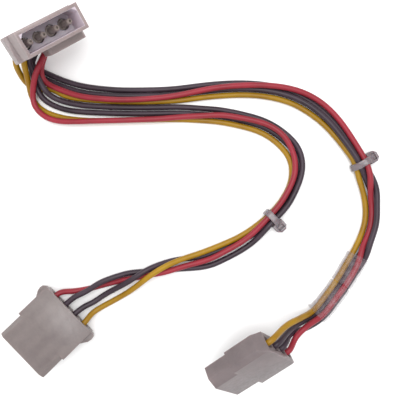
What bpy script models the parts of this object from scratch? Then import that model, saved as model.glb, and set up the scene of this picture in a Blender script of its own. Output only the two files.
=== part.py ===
"""A drive power splitter cable: one four-way pin connector, eight wires in two branches of four, a
socket connector on each branch, a cable tie on each branch, and clear tape round one of them.

Sizes are in millimetres and are turned into metres where a mesh, a curve or an object is made. The
cable lies on the surface at height 0."""

import math
from dataclasses import dataclass

import bmesh
import bpy
import numpy as np
from mathutils import Euler, Matrix, Vector

MM = 0.001

WAY_COUNT = 4
WAY_PITCH = 5.08
WAYS = [(i - (WAY_COUNT - 1) / 2) * WAY_PITCH for i in range(WAY_COUNT)]

WIRE_DIAMETER = 2.2
WIRE_POINT_SPACING = 3.8
SEATED_GAP = 0.3

# The pin connector. Its y axis points out of the hood and is 0 at the rim.
HOOD_WIDTH = 23.4
HOOD_THICKNESS = 8.6
HOOD_WALL = 1.15
HOOD_DEPTH = 11.5
HOOD_KEY_CUT = 1.3
INPUT_LENGTH = 19.0
BLOCK_WIDTH = 26.0
BLOCK_THICKNESS = 9.4
BLOCK_LENGTH = 7.0
LEDGE_START = -2.2
LEDGE_END = 12.2
LEDGE_HEIGHT = 2.7
LEDGE_LENGTH = 10.4
LEDGE_CORNER = 0.9
PIN_HOLE_DIAMETER = 4.1
PIN_DIAMETER = 2.1
PIN_SETBACK = 3.0
PIN_COLLAR_DIAMETER = 3.7
WIRE_WELL_WIDTH = 4.2
WIRE_WELL_HEIGHT = 5.5
WIRE_WELL_DEPTH = 5.8
COLLAR_BACK = 0.9
COLLAR_FRONT = 0.6
PAIR_OFFSET = 1.2

# The socket connectors. Their y axis points out of the mating end and is 0 at its face.
SOCKET_STEP = 0.1
SOCKET_HOLE_DIAMETER = 4.2
SOCKET_DIAMETER = 3.5
SOCKET_BORE = 2.2
SOCKET_BORE_DEPTH = 8.6
SOCKET_SETBACK = 1.2
SOCKET_COLLAR_DIAMETER = 3.8
SOCKET_REAR_DEPTH = 7.4
EAR_REACH = 2.1
EAR_LENGTH = 6.2
EAR_THICKNESS = 3.4

# The ties and the tape. A tie's sleeve is round the whole bundle, and its head is at one side.
TIE_WIDTH = 2.5
TIE_THICKNESS = 0.9
TIE_CLEARANCE = 0.25
TIE_HEAD_LENGTH = 4.4
TIE_HEAD_WIDTH = 4.5
TIE_HEAD_HEIGHT = 3.9
TIE_HEAD_CUT = 1.2
TAPE_THICKNESS = 0.3
TAPE_CLEARANCE = 0.36
TAPE_FOLD = 1.3
TAPE_SECTIONS = 8
SLEEVE_CORNERS = 28

# Plan positions are a column and a row, in steps of about 0.39 mm on the surface, counted from the
# upper left of a square 400 steps wide that is seen from this height above its middle. A raised point
# is drawn in towards the middle by its height. PLAN_SHIFT is the middle's place.
VIEW_HEIGHT = 170.0
VIEW_STEPS = 426.8
VIEW_MIDDLE = 200.0
PLAN_SHIFT = Vector((19.832, 1.705, 0.0))


@dataclass
class Pose:
    """A connector's place: x across its four ways, y out of its mating end, z through its thickness."""

    origin: tuple
    turn: float
    pitch: float = 0.0
    roll: float = 0.0

    def matrix(self):
        angles = Euler((math.radians(self.pitch), math.radians(self.roll), math.radians(self.turn)), "YXZ")
        return Matrix.LocRotScale(Vector(self.origin) + PLAN_SHIFT, angles, None)

    def point(self, x, y, z):
        return np.array(self.matrix() @ Vector((x, y, z)))


@dataclass
class SocketShape:
    """What sets the two socket connectors apart."""

    length: float
    front_length: float
    front_width: float
    rear_width: float
    rear_corner: float
    thickness: float
    front_key_cut: float
    rear_key_cut: float
    key_cut_up: bool
    ears: bool

    def key_side(self):
        return 1 if self.key_cut_up else -1


INPUT_POSE = Pose((-48.2, 55.7, 30.1), 68.5, 125.0, -35.7)
EARED_POSE = Pose((-66.08, -57.95, 10.08), 134.73, 14.0, 3.0)
PLAIN_POSE = Pose((8.82, -68.42, 9.92), 128.2, -13.5, -45.0)
EARED_SHAPE = SocketShape(22.9, 9.4, 22.6, 24.0, 0.0, 8.1, 1.7, 0.0, True, True)
PLAIN_SHAPE = SocketShape(25.3, 10.1, 21.4, 24.4, 2.2, 7.6, 3.0, 1.7, True, False)

# How a wire's route is worked out: its spacing before the wires are spread, how far apart their centres
# end, and how many points at each end stay where the connectors hold them.
ROUTE_SPACING = 1.5
WIRES_APART = WIRE_DIAMETER + 0.28
SIDEWAYS_SHARE = 0.3
SPREAD_TURNS = 400
HELD_POINTS = 3
SURFACE_GAP = 0.05

# The middle line of each branch in plan, from the pin connector on, as (column, row).
OUTER_SPINE = [
    (44, 72), (60, 82), (80, 90), (100, 94), (120, 96), (140, 96.5), (160, 96), (180, 94.5), (200, 92),
    (220, 90), (240, 89.5), (260, 90.5), (280, 94.5), (300, 103), (315, 113), (328, 125), (340, 139),
    (350, 152), (357, 161), (363, 172), (368, 185), (371.5, 200), (372.5, 215), (370, 230), (365, 243),
    (359, 254), (350, 270), (340, 286), (330, 300), (318, 315.5), (305, 324), (292, 332), (281, 341),
]
INNER_SPINE = [
    (33, 85), (40, 95), (50, 103), (62, 109), (76.5, 113), (95, 114.5), (115, 114.5), (135, 114),
    (153, 113.5), (175, 112.5), (200, 112.5), (222, 114), (240, 118), (262, 124), (280, 135), (293, 150),
    (298, 165), (296, 180), (288, 197), (275, 213), (262, 225), (245, 238), (225, 248), (205, 257),
    (185, 264), (165, 271), (145, 278), (125, 285), (105, 292), (88, 300),
]

# Lengths along a branch's middle line, in the same steps: each tie, and where each turn of tape starts
# and ends.
INNER_TIE = 358.5
OUTER_TIE = 349.0
TAPE_SPANS = ((447.0, 479.0), (480.2, 519.0))


@dataclass
class Wire:
    """A wire's route: the way of the pin connector that it leaves and on which side of it, the points by
    which it comes round from there as (column, row, height), its stations along the branch as (length
    along, offset, height), more such points, and the way of the socket connector that it enters."""

    name: str
    way: int
    side: int
    end_way: int
    lead: list
    stations: list
    tail: list

    def colour(self):
        return self.name.split("_")[1]


# The eared connector's four wires, which follow the inner branch.
INNER_WIRES = [
    Wire(
        "wire_yellow_eared",
        way=0,
        side=1,
        end_way=0,
        lead=[(24.4, 62, 11.5), (26, 70, 8.8), (28, 79, 6.0), (30, 88, 3.7), (32.2, 97, 1.5)],
        stations=[
            (20, 9.8, 1.15), (30, 9.3, 1.15), (40, 8.2, 1.15), (60, 6.4, 1.15), (80, 6.0, 1.15),
            (100, 5.8, 1.15), (120, 5.9, 1.15), (140, 6.3, 1.15), (160, 6.9, 1.15), (180, 7.4, 1.15),
            (200, 7.7, 1.15), (240, 7.7, 1.15), (270, 7.8, 1.15), (290, 7.1, 1.15), (310, 5.4, 1.15),
            (330, 3.8, 1.15), (357, 2.8, 1.15), (380, 3.2, 1.15), (400, 4.0, 1.3), (420, 4.6, 1.8),
            (440, 5.5, 2.6), (460, 5.6, 3.5), (480, 3.7, 5.2), (500, -1.5, 5.0), (515, -6.4, 3.0),
            (530, -9.9, 1.3), (550, -12.3, 1.3), (560, -13.2, 2.0),
        ],
        tail=[(88.6, 317, 3.4)],
    ),
    Wire(
        "wire_black_eared_1",
        way=1,
        side=1,
        end_way=2,
        lead=[(29.5, 60, 10.0), (33.4, 68, 6.6), (37.6, 75, 4.9), (41, 82, 4.2), (45.3, 89.5, 3.7)],
        stations=[
            (20, -6.8, 2.6), (30, -7.2, 1.4), (40, -8.0, 1.15), (60, -8.5, 1.15), (80, -8.0, 1.15),
            (100, -7.5, 1.15), (120, -6.9, 1.15), (140, -6.0, 1.15), (160, -5.0, 1.15), (180, -3.6, 1.15),
            (200, -3.0, 1.15), (240, -3.0, 1.15), (260, -3.6, 1.15), (280, -4.4, 1.5), (300, -3.7, 2.6),
            (320, -3.2, 3.2), (340, -4.0, 3.2), (357, -3.7, 3.0), (370, -4.6, 2.2), (385, -6.8, 1.2),
            (400, -8.6, 1.15), (420, -9.9, 1.15), (435, -9.5, 1.15), (450, -6.6, 1.15), (462, -3.4, 1.15),
            (475, -0.4, 1.15), (490, 3.2, 1.15), (502, 6.4, 1.15), (515, 9.4, 2.2), (530, 10.6, 3.4),
            (545, 10.2, 3.6), (560, 8.4, 3.6),
        ],
        tail=[(72.5, 298, 3.9)],
    ),
    Wire(
        "wire_black_eared_2",
        way=2,
        side=1,
        end_way=1,
        lead=[
            (38.5, 48, 8.2), (32.8, 60, 7.2), (31.6, 70, 5.0),
            (33.8, 78, 3.9), (35.8, 85, 3.5), (39, 92.5, 3.2),
        ],
        stations=[
            (20, 0.4, 1.5), (40, -0.6, 1.15), (60, -2.0, 1.15), (80, -2.0, 1.15), (100, -1.3, 1.15),
            (120, -0.5, 1.15), (140, 0.3, 1.15), (160, 1.1, 1.15), (180, 2.2, 1.15), (200, 2.3, 1.15),
            (220, 2.2, 1.15), (240, 2.2, 1.15), (260, 1.9, 1.15), (275, 0.8, 1.15), (290, -1.0, 1.15),
            (310, -2.0, 1.15), (340, -2.6, 1.15), (357, -2.6, 1.15), (380, -1.6, 1.15), (400, -0.6, 1.15),
            (420, 0.6, 1.15), (440, 2.0, 1.15), (452, 4.4, 1.15), (465, 7.0, 1.3), (480, 8.0, 2.4),
            (492, 7.4, 3.4), (502, 5.6, 3.6), (515, 2.6, 3.2), (530, -0.2, 2.0), (545, -2.6, 1.5), (560, -4.3, 2.6),
        ],
        tail=[(80.3, 308, 3.7)],
    ),
    Wire(
        "wire_red_eared",
        way=3,
        side=1,
        end_way=3,
        lead=[
            (50.5, 42, 9.2), (44.3, 55, 8.4), (39.8, 66, 8.2),
            (36, 77, 7.0), (34, 88, 5.4), (33.6, 98, 4.0),
        ],
        stations=[
            (18, 12.2, 3.5), (30, 14.0, 3.0), (40, 12.3, 3.2), (50, 9.6, 3.4), (60, 7.6, 3.4), (80, 6.2, 3.4),
            (100, 6.0, 3.4), (120, 5.8, 3.4), (140, 5.6, 3.4), (160, 4.6, 3.3), (180, 3.2, 3.3), (200, 1.2, 3.4),
            (220, -0.3, 3.3), (240, -1.1, 3.3), (255, -1.8, 3.3), (268, -1.0, 3.2), (280, 1.2, 2.6),
            (290, 2.5, 2.8), (305, 3.2, 3.2), (320, 3.3, 3.3), (340, 2.8, 3.3), (357, 2.0, 3.3), (370, 0.9, 3.3),
            (385, -0.5, 3.3), (400, -1.8, 3.3), (415, -3.0, 3.3), (430, -3.6, 3.2), (445, -2.7, 3.1),
            (460, -1.6, 3.1), (475, -1.0, 3.0), (487, 1.0, 2.8), (500, 3.9, 1.3), (512, 5.4, 1.2), (525, 6.2, 1.15),
            (540, 7.4, 1.15), (552, 9.2, 1.15),
        ],
        tail=[(81.5, 289.8, 1.15), (72.5, 291.2, 1.8)],
    ),
]

# The plain connector's four wires, which follow the outer branch.
OUTER_WIRES = [
    Wire(
        "wire_yellow_plain",
        way=0,
        side=-1,
        end_way=3,
        lead=[
            (15.6, 62, 10.2), (18, 70, 6.9), (22.5, 78, 3.4),
            (27.5, 84, 1.5), (35, 88, 1.15), (43, 90, 1.15),
        ],
        stations=[
            (14, 11.0, 1.15), (25, 10.4, 1.15), (40, 9.1, 1.15), (60, 6.3, 1.15), (80, 5.2, 1.15), (100, 4.9, 1.15),
            (120, 4.9, 1.15), (140, 5.0, 1.15), (160, 5.1, 1.15), (190, 5.1, 1.15), (220, 4.9, 1.15), (250, 4.4, 1.15),
            (270, 3.8, 1.15), (290, 3.0, 1.15), (310, 2.4, 1.15), (330, 2.4, 1.15), (348, 3.8, 1.15), (360, 6.0, 1.15),
            (375, 6.8, 1.15), (390, 6.8, 1.15), (410, 6.7, 1.15), (430, 6.7, 1.15), (450, 6.4, 1.15), (480, 5.9, 1.15),
            (500, 6.0, 1.3), (515, 6.6, 2.4), (530, 7.4, 7.2), (542, 7.9, 12.2), (552, 8.3, 15.4),
        ],
        tail=[],
    ),
    Wire(
        "wire_black_plain_1",
        way=1,
        side=-1,
        end_way=1,
        lead=[(25.8, 54, 8.4), (29.5, 62, 5.4), (34.2, 67.2, 3.2), (39.2, 70, 1.9)],
        stations=[
            (2, 0.2, 1.3), (20, -2.3, 1.15), (40, -4.0, 1.15), (60, -4.7, 1.15), (80, -5.0, 1.15), (100, -5.4, 1.15),
            (120, -5.4, 1.15), (140, -5.4, 1.15), (160, -5.5, 1.15), (190, -5.6, 1.15), (220, -5.7, 1.15),
            (240, -5.9, 1.15), (260, -6.3, 1.15), (280, -6.4, 1.15), (300, -6.2, 1.15), (320, -5.4, 1.15),
            (340, -4.0, 1.15), (350, -4.0, 1.15), (360, -4.3, 1.15), (370, -5.2, 1.9), (380, -4.6, 3.0), (390, -3.2, 3.3),
            (410, -2.8, 3.3), (430, -2.6, 3.3), (440, -4.4, 2.9), (450, -5.6, 1.9), (460, -5.2, 1.15), (480, -4.8, 1.15),
            (500, -4.6, 1.15), (515, -4.4, 1.8), (530, -4.3, 3.3), (542, -3.2, 5.2), (552, -1.4, 8.2),
        ],
        tail=[],
    ),
    Wire(
        "wire_black_plain_2",
        way=2,
        side=-1,
        end_way=2,
        lead=[(33, 48, 6.0), (27.4, 60, 4.0), (29.6, 67, 2.4), (35.2, 72.6, 1.3)],
        stations=[
            (0, 5.6, 1.15), (20, 2.8, 1.15), (40, 1.6, 1.15), (60, 0.9, 1.15), (80, 0.7, 1.15), (100, 0.4, 1.15),
            (120, 0.0, 1.15), (140, -0.2, 1.15), (160, -0.3, 1.15), (190, -0.4, 1.15), (220, -0.6, 1.2),
            (240, -1.2, 1.8), (260, -2.2, 2.6), (280, -2.7, 2.8), (300, -2.7, 2.9), (320, -2.0, 3.1), (340, -0.9, 3.1),
            (350, 0.4, 2.9), (360, 1.4, 1.9), (375, 0.2, 1.2), (390, -1.8, 1.15), (410, -2.6, 1.15), (430, -2.2, 1.15),
            (440, -0.6, 1.15), (450, 0.8, 1.15), (480, 1.2, 1.15), (500, 1.4, 1.15), (515, 2.2, 2.0), (530, 3.0, 5.0),
            (542, 2.8, 8.6), (552, 2.4, 12.0),
        ],
        tail=[],
    ),
    Wire(
        "wire_red_plain",
        way=3,
        side=-1,
        end_way=0,
        lead=[(47.5, 46, 6.2), (44.4, 57, 5.2), (41.8, 66, 4.8), (41.6, 74, 3.9), (44.5, 81, 2.2)],
        stations=[
            (12, 8.2, 1.3), (20, 7.5, 1.8), (40, 6.3, 2.6), (60, 5.0, 3.2), (80, 4.0, 3.3), (100, 3.0, 3.3),
            (120, 2.0, 3.3), (140, 0.6, 3.3), (160, -1.0, 3.3), (180, -2.4, 3.3), (200, -3.6, 3.3), (220, -4.8, 3.2),
            (240, -7.0, 3.0), (260, -9.6, 2.4), (280, -11.0, 1.9), (300, -10.7, 2.0), (320, -9.1, 2.6), (340, -6.4, 3.1),
            (350, -4.8, 3.2), (360, -3.9, 3.3), (370, -2.0, 3.2), (380, 0.2, 2.2), (390, 1.6, 1.2), (410, 1.9, 1.15),
            (430, 1.8, 1.2), (440, 0.0, 2.7), (448, -2.2, 3.3), (460, -3.4, 3.3), (480, -3.2, 3.3), (500, -2.8, 3.3),
            (515, -2.0, 4.1), (530, -1.2, 5.7), (542, -3.4, 7.4), (552, -6.6, 7.4),
        ],
        tail=[],
    ),
]


def collection(name):
    made = bpy.data.collections.new(name)
    bpy.context.scene.collection.children.link(made)
    return made


def clear_scene():
    for obj in list(bpy.data.objects):
        bpy.data.objects.remove(obj)
    for made in list(bpy.data.collections):
        bpy.data.collections.remove(made)


def material(name, colour, roughness, metallic=0.0):
    made = bpy.data.materials.new(name)
    made.use_nodes = True
    shader = made.node_tree.nodes["Principled BSDF"]
    shader.inputs["Base Color"].default_value = (*colour, 1.0)
    shader.inputs["Roughness"].default_value = roughness
    shader.inputs["Metallic"].default_value = metallic
    return made


def mesh_of(name, work):
    mesh = bpy.data.meshes.new(name)
    work.to_mesh(mesh)
    work.free()
    return mesh


def block_mesh(name, low, high):
    """A box between two corners, each (x, y, z)."""
    low, high = Vector(low) * MM, Vector(high) * MM
    work = bmesh.new()
    bmesh.ops.create_cube(work, size=1.0)
    bmesh.ops.scale(work, vec=high - low, verts=work.verts)
    bmesh.ops.translate(work, vec=(low + high) / 2, verts=work.verts)
    return mesh_of(name, work)


def rod_mesh(name, x, z, diameter, start, end):
    """A round rod along y."""
    work = bmesh.new()
    radius = diameter / 2 * MM
    bmesh.ops.create_cone(
        work, cap_ends=True, segments=20, radius1=radius, radius2=radius, depth=(end - start) * MM
    )
    place = Matrix.Translation(Vector((x, (start + end) / 2, z)) * MM)
    bmesh.ops.transform(work, matrix=place @ Matrix.Rotation(math.pi / 2, 4, "X"), verts=work.verts)
    return mesh_of(name, work)


def plate_mesh(name, outline, start, end, along):
    """An outline carried along Y, where it is in x and z, or along Z, where it is in x and y."""
    curve = bpy.data.curves.new(name, "CURVE")
    curve.dimensions = "2D"
    curve.fill_mode = "BOTH"
    curve.extrude = (end - start) / 2 * MM
    spline = curve.splines.new("POLY")
    spline.points.add(len(outline) - 1)
    for point, (u, v) in zip(spline.points, outline):
        point.co = (u * MM, v * MM, 0, 1)
    spline.use_cyclic_u = True
    helper = bpy.data.objects.new(name, curve)
    bpy.context.scene.collection.objects.link(helper)
    graph = bpy.context.evaluated_depsgraph_get()
    flat = bpy.data.meshes.new_from_object(helper.evaluated_get(graph))
    bpy.data.objects.remove(helper)
    work = bmesh.new()
    work.from_mesh(flat)
    bmesh.ops.remove_doubles(work, verts=work.verts, dist=0.001 * MM)
    middle = (start + end) / 2 * MM
    if along == "Y":
        place = Matrix.Translation((0, middle, 0)) @ Matrix.Rotation(math.pi / 2, 4, "X")
    else:
        place = Matrix.Translation((0, 0, middle))
    bmesh.ops.transform(work, matrix=place, verts=work.verts)
    bmesh.ops.recalc_face_normals(work, faces=work.faces)
    return mesh_of(name, work)


def keyed_outline(width, thickness, cut, side):
    """A rectangle with its two corners on one side, up or down, cut off at 45 degrees."""
    x, z = width / 2, thickness / 2
    corners = [(-x, -z), (x, -z), (x, z - cut), (x - cut, z), (cut - x, z), (-x, z - cut)]
    return [(u, v * side) for u, v in corners]


def corner_outline(x, z, cut):
    """A triangle that takes a 45 degree corner of this size off a section whose corner is at x and z."""
    out_x, out_z = math.copysign(0.5, x), math.copysign(0.5, z)
    in_x, in_z = math.copysign(cut, x), math.copysign(cut, z)
    return [(x + out_x, z + out_z), (x - in_x - out_x, z + out_z), (x + out_x, z - in_z - out_z)]


def long_hole_outline(x, width, height, steps=8):
    """A hole with round ends, higher than it is wide."""
    radius = width / 2
    outline = []
    for end in (1, -1):
        for k in range(steps + 1):
            angle = math.pi * (k / steps + (end < 0))
            outline.append((x + radius * math.cos(angle), end * (height / 2 - radius) + radius * math.sin(angle)))
    return outline


class Workshop:
    """The collections and materials, and the ways to add a piece to them."""

    def __init__(self):
        self.parts = collection("splitter_cable")
        self.cutters = collection("cutters")
        self.nylon = material("nylon", (0.62, 0.56, 0.55), 0.45)
        self.contact = material("tinned_brass", (0.42, 0.37, 0.33), 0.4, 1.0)
        self.tie = material("tie_nylon", (0.55, 0.5, 0.5), 0.4)
        self.tape = material("clear_tape", (0.8, 0.74, 0.74), 0.25)
        self.wires = {
            "yellow": material("yellow_wire", (0.66, 0.44, 0.03), 0.45),
            "black": material("black_wire", (0.03, 0.025, 0.03), 0.45),
            "red": material("red_wire", (0.5, 0.05, 0.08), 0.45),
        }

    def frame(self, name, pose):
        empty = bpy.data.objects.new(name, None)
        matrix = pose.matrix()
        matrix.translation *= MM
        empty.matrix_world = matrix
        empty.empty_display_size = 0.01
        self.parts.objects.link(empty)
        return empty

    def add(self, name, data, finish, parent=None):
        obj = bpy.data.objects.new(name, data)
        data.materials.clear()
        data.materials.append(finish)
        obj.parent = parent
        self.parts.objects.link(obj)
        return obj

    def combine(self, body, mesh, operation):
        """Adds a helper shape to a body, or cuts it away, with a Boolean modifier."""
        helper = bpy.data.objects.new(mesh.name, mesh)
        helper.parent = body.parent
        helper.hide_render = True
        self.cutters.objects.link(helper)
        modifier = body.modifiers.new(mesh.name, "BOOLEAN")
        modifier.operation = operation
        modifier.solver = "EXACT"
        modifier.object = helper

    def turned(self, name, x, profile, finish, parent):
        """A profile of (radius, y) turned about the line along y through x."""
        mesh = bpy.data.meshes.new(name)
        points = [(radius * MM, 0, y * MM) for radius, y in profile]
        mesh.from_pydata(points, [(i, i + 1) for i in range(len(points) - 1)], [])
        obj = self.add(name, mesh, finish, parent)
        obj.location = (x * MM, 0, 0)
        obj.rotation_euler = (-math.pi / 2, 0, 0)
        screw = obj.modifiers.new("turn", "SCREW")
        screw.axis = "Z"
        screw.steps = screw.render_steps = 16
        screw.use_merge_vertices = True
        screw.merge_threshold = 0.001 * MM
        return obj


def build_input(shop):
    """The pin connector: a hood round four pins, on a wider block that the wires enter."""
    frame = shop.frame("input_connector", INPUT_POSE)
    x, z = BLOCK_WIDTH / 2, BLOCK_THICKNESS / 2
    front = BLOCK_LENGTH - INPUT_LENGTH
    body = shop.add(
        "input_housing",
        block_mesh("input_housing", (-x, -INPUT_LENGTH, -z), (x, front, z)),
        shop.nylon,
        frame,
    )
    hood_x, hood_z = HOOD_WIDTH / 2, HOOD_THICKNESS / 2
    hood = [(-hood_x, -hood_z), (hood_x, -hood_z), (hood_x, hood_z), (-hood_x, hood_z)]
    shop.combine(body, plate_mesh("hood", hood, front - 0.5, 0.0, "Y"), "UNION")
    inside = HOOD_THICKNESS / 2 - 0.4
    ledge_front = LEDGE_LENGTH - INPUT_LENGTH
    ledge = [
        (LEDGE_START, -INPUT_LENGTH),
        (LEDGE_END, -INPUT_LENGTH),
        (LEDGE_END, ledge_front - LEDGE_CORNER),
        (LEDGE_END - LEDGE_CORNER, ledge_front),
        (LEDGE_START + LEDGE_CORNER, ledge_front),
        (LEDGE_START, ledge_front - LEDGE_CORNER),
    ]
    ledge_top = HOOD_THICKNESS / 2 + LEDGE_HEIGHT
    shop.combine(body, plate_mesh("ledge", ledge, inside, ledge_top, "Z"), "UNION")
    mouth_width = HOOD_WIDTH - 2 * HOOD_WALL
    mouth_thickness = HOOD_THICKNESS - 2 * HOOD_WALL
    mouth = keyed_outline(mouth_width, mouth_thickness, HOOD_KEY_CUT, -1)
    shop.combine(body, plate_mesh("mouth", mouth, -HOOD_DEPTH, 1.0, "Y"), "DIFFERENCE")
    well_end = WIRE_WELL_DEPTH - INPUT_LENGTH
    for i, way in enumerate(WAYS, 1):
        hole = rod_mesh(f"pin_hole_{i}", way, 0, PIN_HOLE_DIAMETER, well_end - 0.5, 0.5 - HOOD_DEPTH)
        shop.combine(body, hole, "DIFFERENCE")
        well = long_hole_outline(way, WIRE_WELL_WIDTH, WIRE_WELL_HEIGHT)
        well_mesh = plate_mesh(f"wire_well_{i}", well, -INPUT_LENGTH - 1.0, well_end, "Y")
        shop.combine(body, well_mesh, "DIFFERENCE")
    pin, collar = PIN_DIAMETER / 2, PIN_COLLAR_DIAMETER / 2
    collar_front = well_end + COLLAR_FRONT
    collar_back = well_end - COLLAR_BACK
    profile = [
        (0, -PIN_SETBACK),
        (0.5 * pin, -PIN_SETBACK - 0.12),
        (0.87 * pin, -PIN_SETBACK - 0.5),
        (pin, -PIN_SETBACK - 1.0),
        (pin, collar_front),
        (collar, collar_front),
        (collar, collar_back),
        (0, collar_back),
    ]
    for i, way in enumerate(WAYS, 1):
        shop.turned(f"input_pin_{i}", way, profile, shop.contact, frame)


def build_socket_connector(shop, label, pose, shape):
    """A socket connector: a front with two cut corners and a wider rear, holding four contacts."""
    frame = shop.frame(f"{label}_connector", pose)
    name = f"{label}_housing"
    half = shape.thickness / 2
    front_thickness = shape.thickness - 2 * SOCKET_STEP
    outline = keyed_outline(shape.front_width, front_thickness, shape.front_key_cut, shape.key_side())
    body = shop.add(name, plate_mesh(name, outline, -shape.front_length - 0.5, 0.0, "Y"), shop.nylon, frame)
    x, corner = shape.rear_width / 2, shape.rear_corner
    rear = [
        (-x, -shape.front_length),
        (-x, corner * 1.6 - shape.length),
        (corner - x, -shape.length),
        (x - corner, -shape.length),
        (x, corner * 1.6 - shape.length),
        (x, -shape.front_length),
    ]
    if not corner:
        rear = [rear[0], rear[2], rear[3], rear[5]]
    shop.combine(body, plate_mesh(f"{label}_rear", rear, -half, half, "Z"), "UNION")
    if shape.rear_key_cut:
        for side in (-1, 1):
            edge = corner_outline(x * side, half * shape.key_side(), shape.rear_key_cut)
            edge_mesh = plate_mesh(f"{label}_edge_{side + 2}", edge, -shape.length - 1.0, 0.4 - shape.front_length, "Y")
            shop.combine(body, edge_mesh, "DIFFERENCE")
    if shape.ears:
        for side in (-1, 1):
            ear = [
                (x - 0.4, EAR_LENGTH - shape.length),
                (x + 0.3, EAR_LENGTH - 0.6 - shape.length),
                (x + 0.85 * EAR_REACH, 0.55 * EAR_LENGTH - shape.length),
                (x + EAR_REACH, 0.34 * EAR_LENGTH - shape.length),
                (x + 0.9 * EAR_REACH, 0.14 * EAR_LENGTH - shape.length),
                (x + 0.5 * EAR_REACH, 0.03 * EAR_LENGTH - shape.length),
                (x - 0.4, -shape.length),
            ]
            ear = [(side * u, v) for u, v in ear]
            ear_mesh = plate_mesh(f"{label}_ear_{side + 2}", ear, -EAR_THICKNESS / 2, EAR_THICKNESS / 2, "Z")
            shop.combine(body, ear_mesh, "UNION")
    collar_back = SOCKET_REAR_DEPTH - shape.length
    radius, bore, collar = SOCKET_DIAMETER / 2, SOCKET_BORE / 2, SOCKET_COLLAR_DIAMETER / 2
    profile = [
        (0, -SOCKET_SETBACK - SOCKET_BORE_DEPTH),
        (bore, -SOCKET_SETBACK - SOCKET_BORE_DEPTH),
        (bore, -SOCKET_SETBACK),
        (radius, -SOCKET_SETBACK),
        (radius, -SOCKET_SETBACK - SOCKET_BORE_DEPTH),
        (collar, -SOCKET_SETBACK - SOCKET_BORE_DEPTH),
        (collar, collar_back),
        (0, collar_back),
    ]
    for i, way in enumerate(WAYS, 1):
        hole = rod_mesh(f"{label}_way_{i}", way, 0, SOCKET_HOLE_DIAMETER, -shape.length - 1.0, 1.0)
        shop.combine(body, hole, "DIFFERENCE")
        shop.turned(f"{label}_contact_{i}", way, profile, shop.contact, frame)


def surface_point(column, row, height):
    """The point in millimetres that is seen at this column and row."""
    step = (VIEW_HEIGHT - height) / VIEW_STEPS
    return np.array([(column - VIEW_MIDDLE) * step, (VIEW_MIDDLE - row) * step, height]) + np.array(PLAN_SHIFT)


def smooth_curve(points, spacing):
    """A curve through every point with no corner in it, given back at an even spacing."""
    points = np.asarray(points, float)
    chord = np.sqrt(np.linalg.norm(np.diff(points, axis=0), axis=1))
    knots = np.concatenate([[0.0], np.cumsum(chord)])
    count = len(points)
    system = np.zeros((count, count))
    right = np.zeros((count, points.shape[1]))
    system[0, 0] = system[-1, -1] = 1.0
    for i in range(1, count - 1):
        before, after = knots[i] - knots[i - 1], knots[i + 1] - knots[i]
        system[i, i - 1 : i + 2] = before, 2 * (before + after), after
        right[i] = 6 * ((points[i + 1] - points[i]) / after - (points[i] - points[i - 1]) / before)
    bend = np.linalg.solve(system, right)
    fine = np.linspace(0, knots[-1], 40 * count)
    index = np.clip(np.searchsorted(knots, fine, side="right") - 1, 0, count - 2)
    width = (knots[index + 1] - knots[index])[:, None]
    left = (fine - knots[index])[:, None]
    rest = width - left
    path = (
        bend[index] * rest**3 / (6 * width)
        + bend[index + 1] * left**3 / (6 * width)
        + (points[index] / width - bend[index] * width / 6) * rest
        + (points[index + 1] / width - bend[index + 1] * width / 6) * left
    )
    length = np.concatenate([[0.0], np.cumsum(np.linalg.norm(np.diff(path, axis=0), axis=1))])
    even = np.linspace(0, length[-1], max(2, round(length[-1] / spacing) + 1))
    return np.stack([np.interp(even, length, path[:, k]) for k in range(path.shape[1])], axis=1)


class Spine:
    """A branch's middle line, by its length along it."""

    def __init__(self, points):
        self.path = smooth_curve(points, 1.0)
        steps = np.linalg.norm(np.diff(self.path, axis=0), axis=1)
        self.length = np.concatenate([[0.0], np.cumsum(steps)])
        self.along = np.gradient(self.path, axis=0)
        self.along /= np.linalg.norm(self.along, axis=1)[:, None]

    def at(self, station, offset, height):
        """The point this far along, moved sideways by the offset and raised to the height."""
        column = np.interp(station, self.length, self.path[:, 0])
        row = np.interp(station, self.length, self.path[:, 1])
        across = np.interp(station, self.length, -self.along[:, 1])
        down = np.interp(station, self.length, self.along[:, 0])
        return surface_point(column + across * offset, row + down * offset, height)

    def direction(self, station):
        x = np.interp(station, self.length, self.along[:, 0])
        y = np.interp(station, self.length, -self.along[:, 1])
        return np.array([x, y, 0.0]) / math.hypot(x, y)


@dataclass
class Branch:
    """Four wires that run together, and the tie and tape round them."""

    label: str
    spine: Spine
    wires: list
    end_pose: Pose
    end_shape: SocketShape
    tie_station: float
    tape_spans: tuple = ()


def wire_route(wire, branch):
    """The wire's centre, from inside the pin connector to inside a socket connector."""
    x, z = WAYS[wire.way], wire.side * PAIR_OFFSET
    start = WIRE_WELL_DEPTH - COLLAR_BACK - SEATED_GAP - INPUT_LENGTH
    points = [INPUT_POSE.point(x, y, z) for y in (start, -INPUT_LENGTH - 0.1, -INPUT_LENGTH - 1.0)]
    points += [surface_point(*place) for place in wire.lead]
    points += [branch.spine.at(*place) for place in wire.stations]
    points += [surface_point(*place) for place in wire.tail]
    end = SOCKET_REAR_DEPTH - branch.end_shape.length - SEATED_GAP
    rear = -branch.end_shape.length
    points += [branch.end_pose.point(WAYS[wire.end_way], y, 0) for y in (rear - 1.4, rear, (rear + end) / 2, end)]
    return smooth_curve(points, ROUTE_SPACING)


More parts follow.
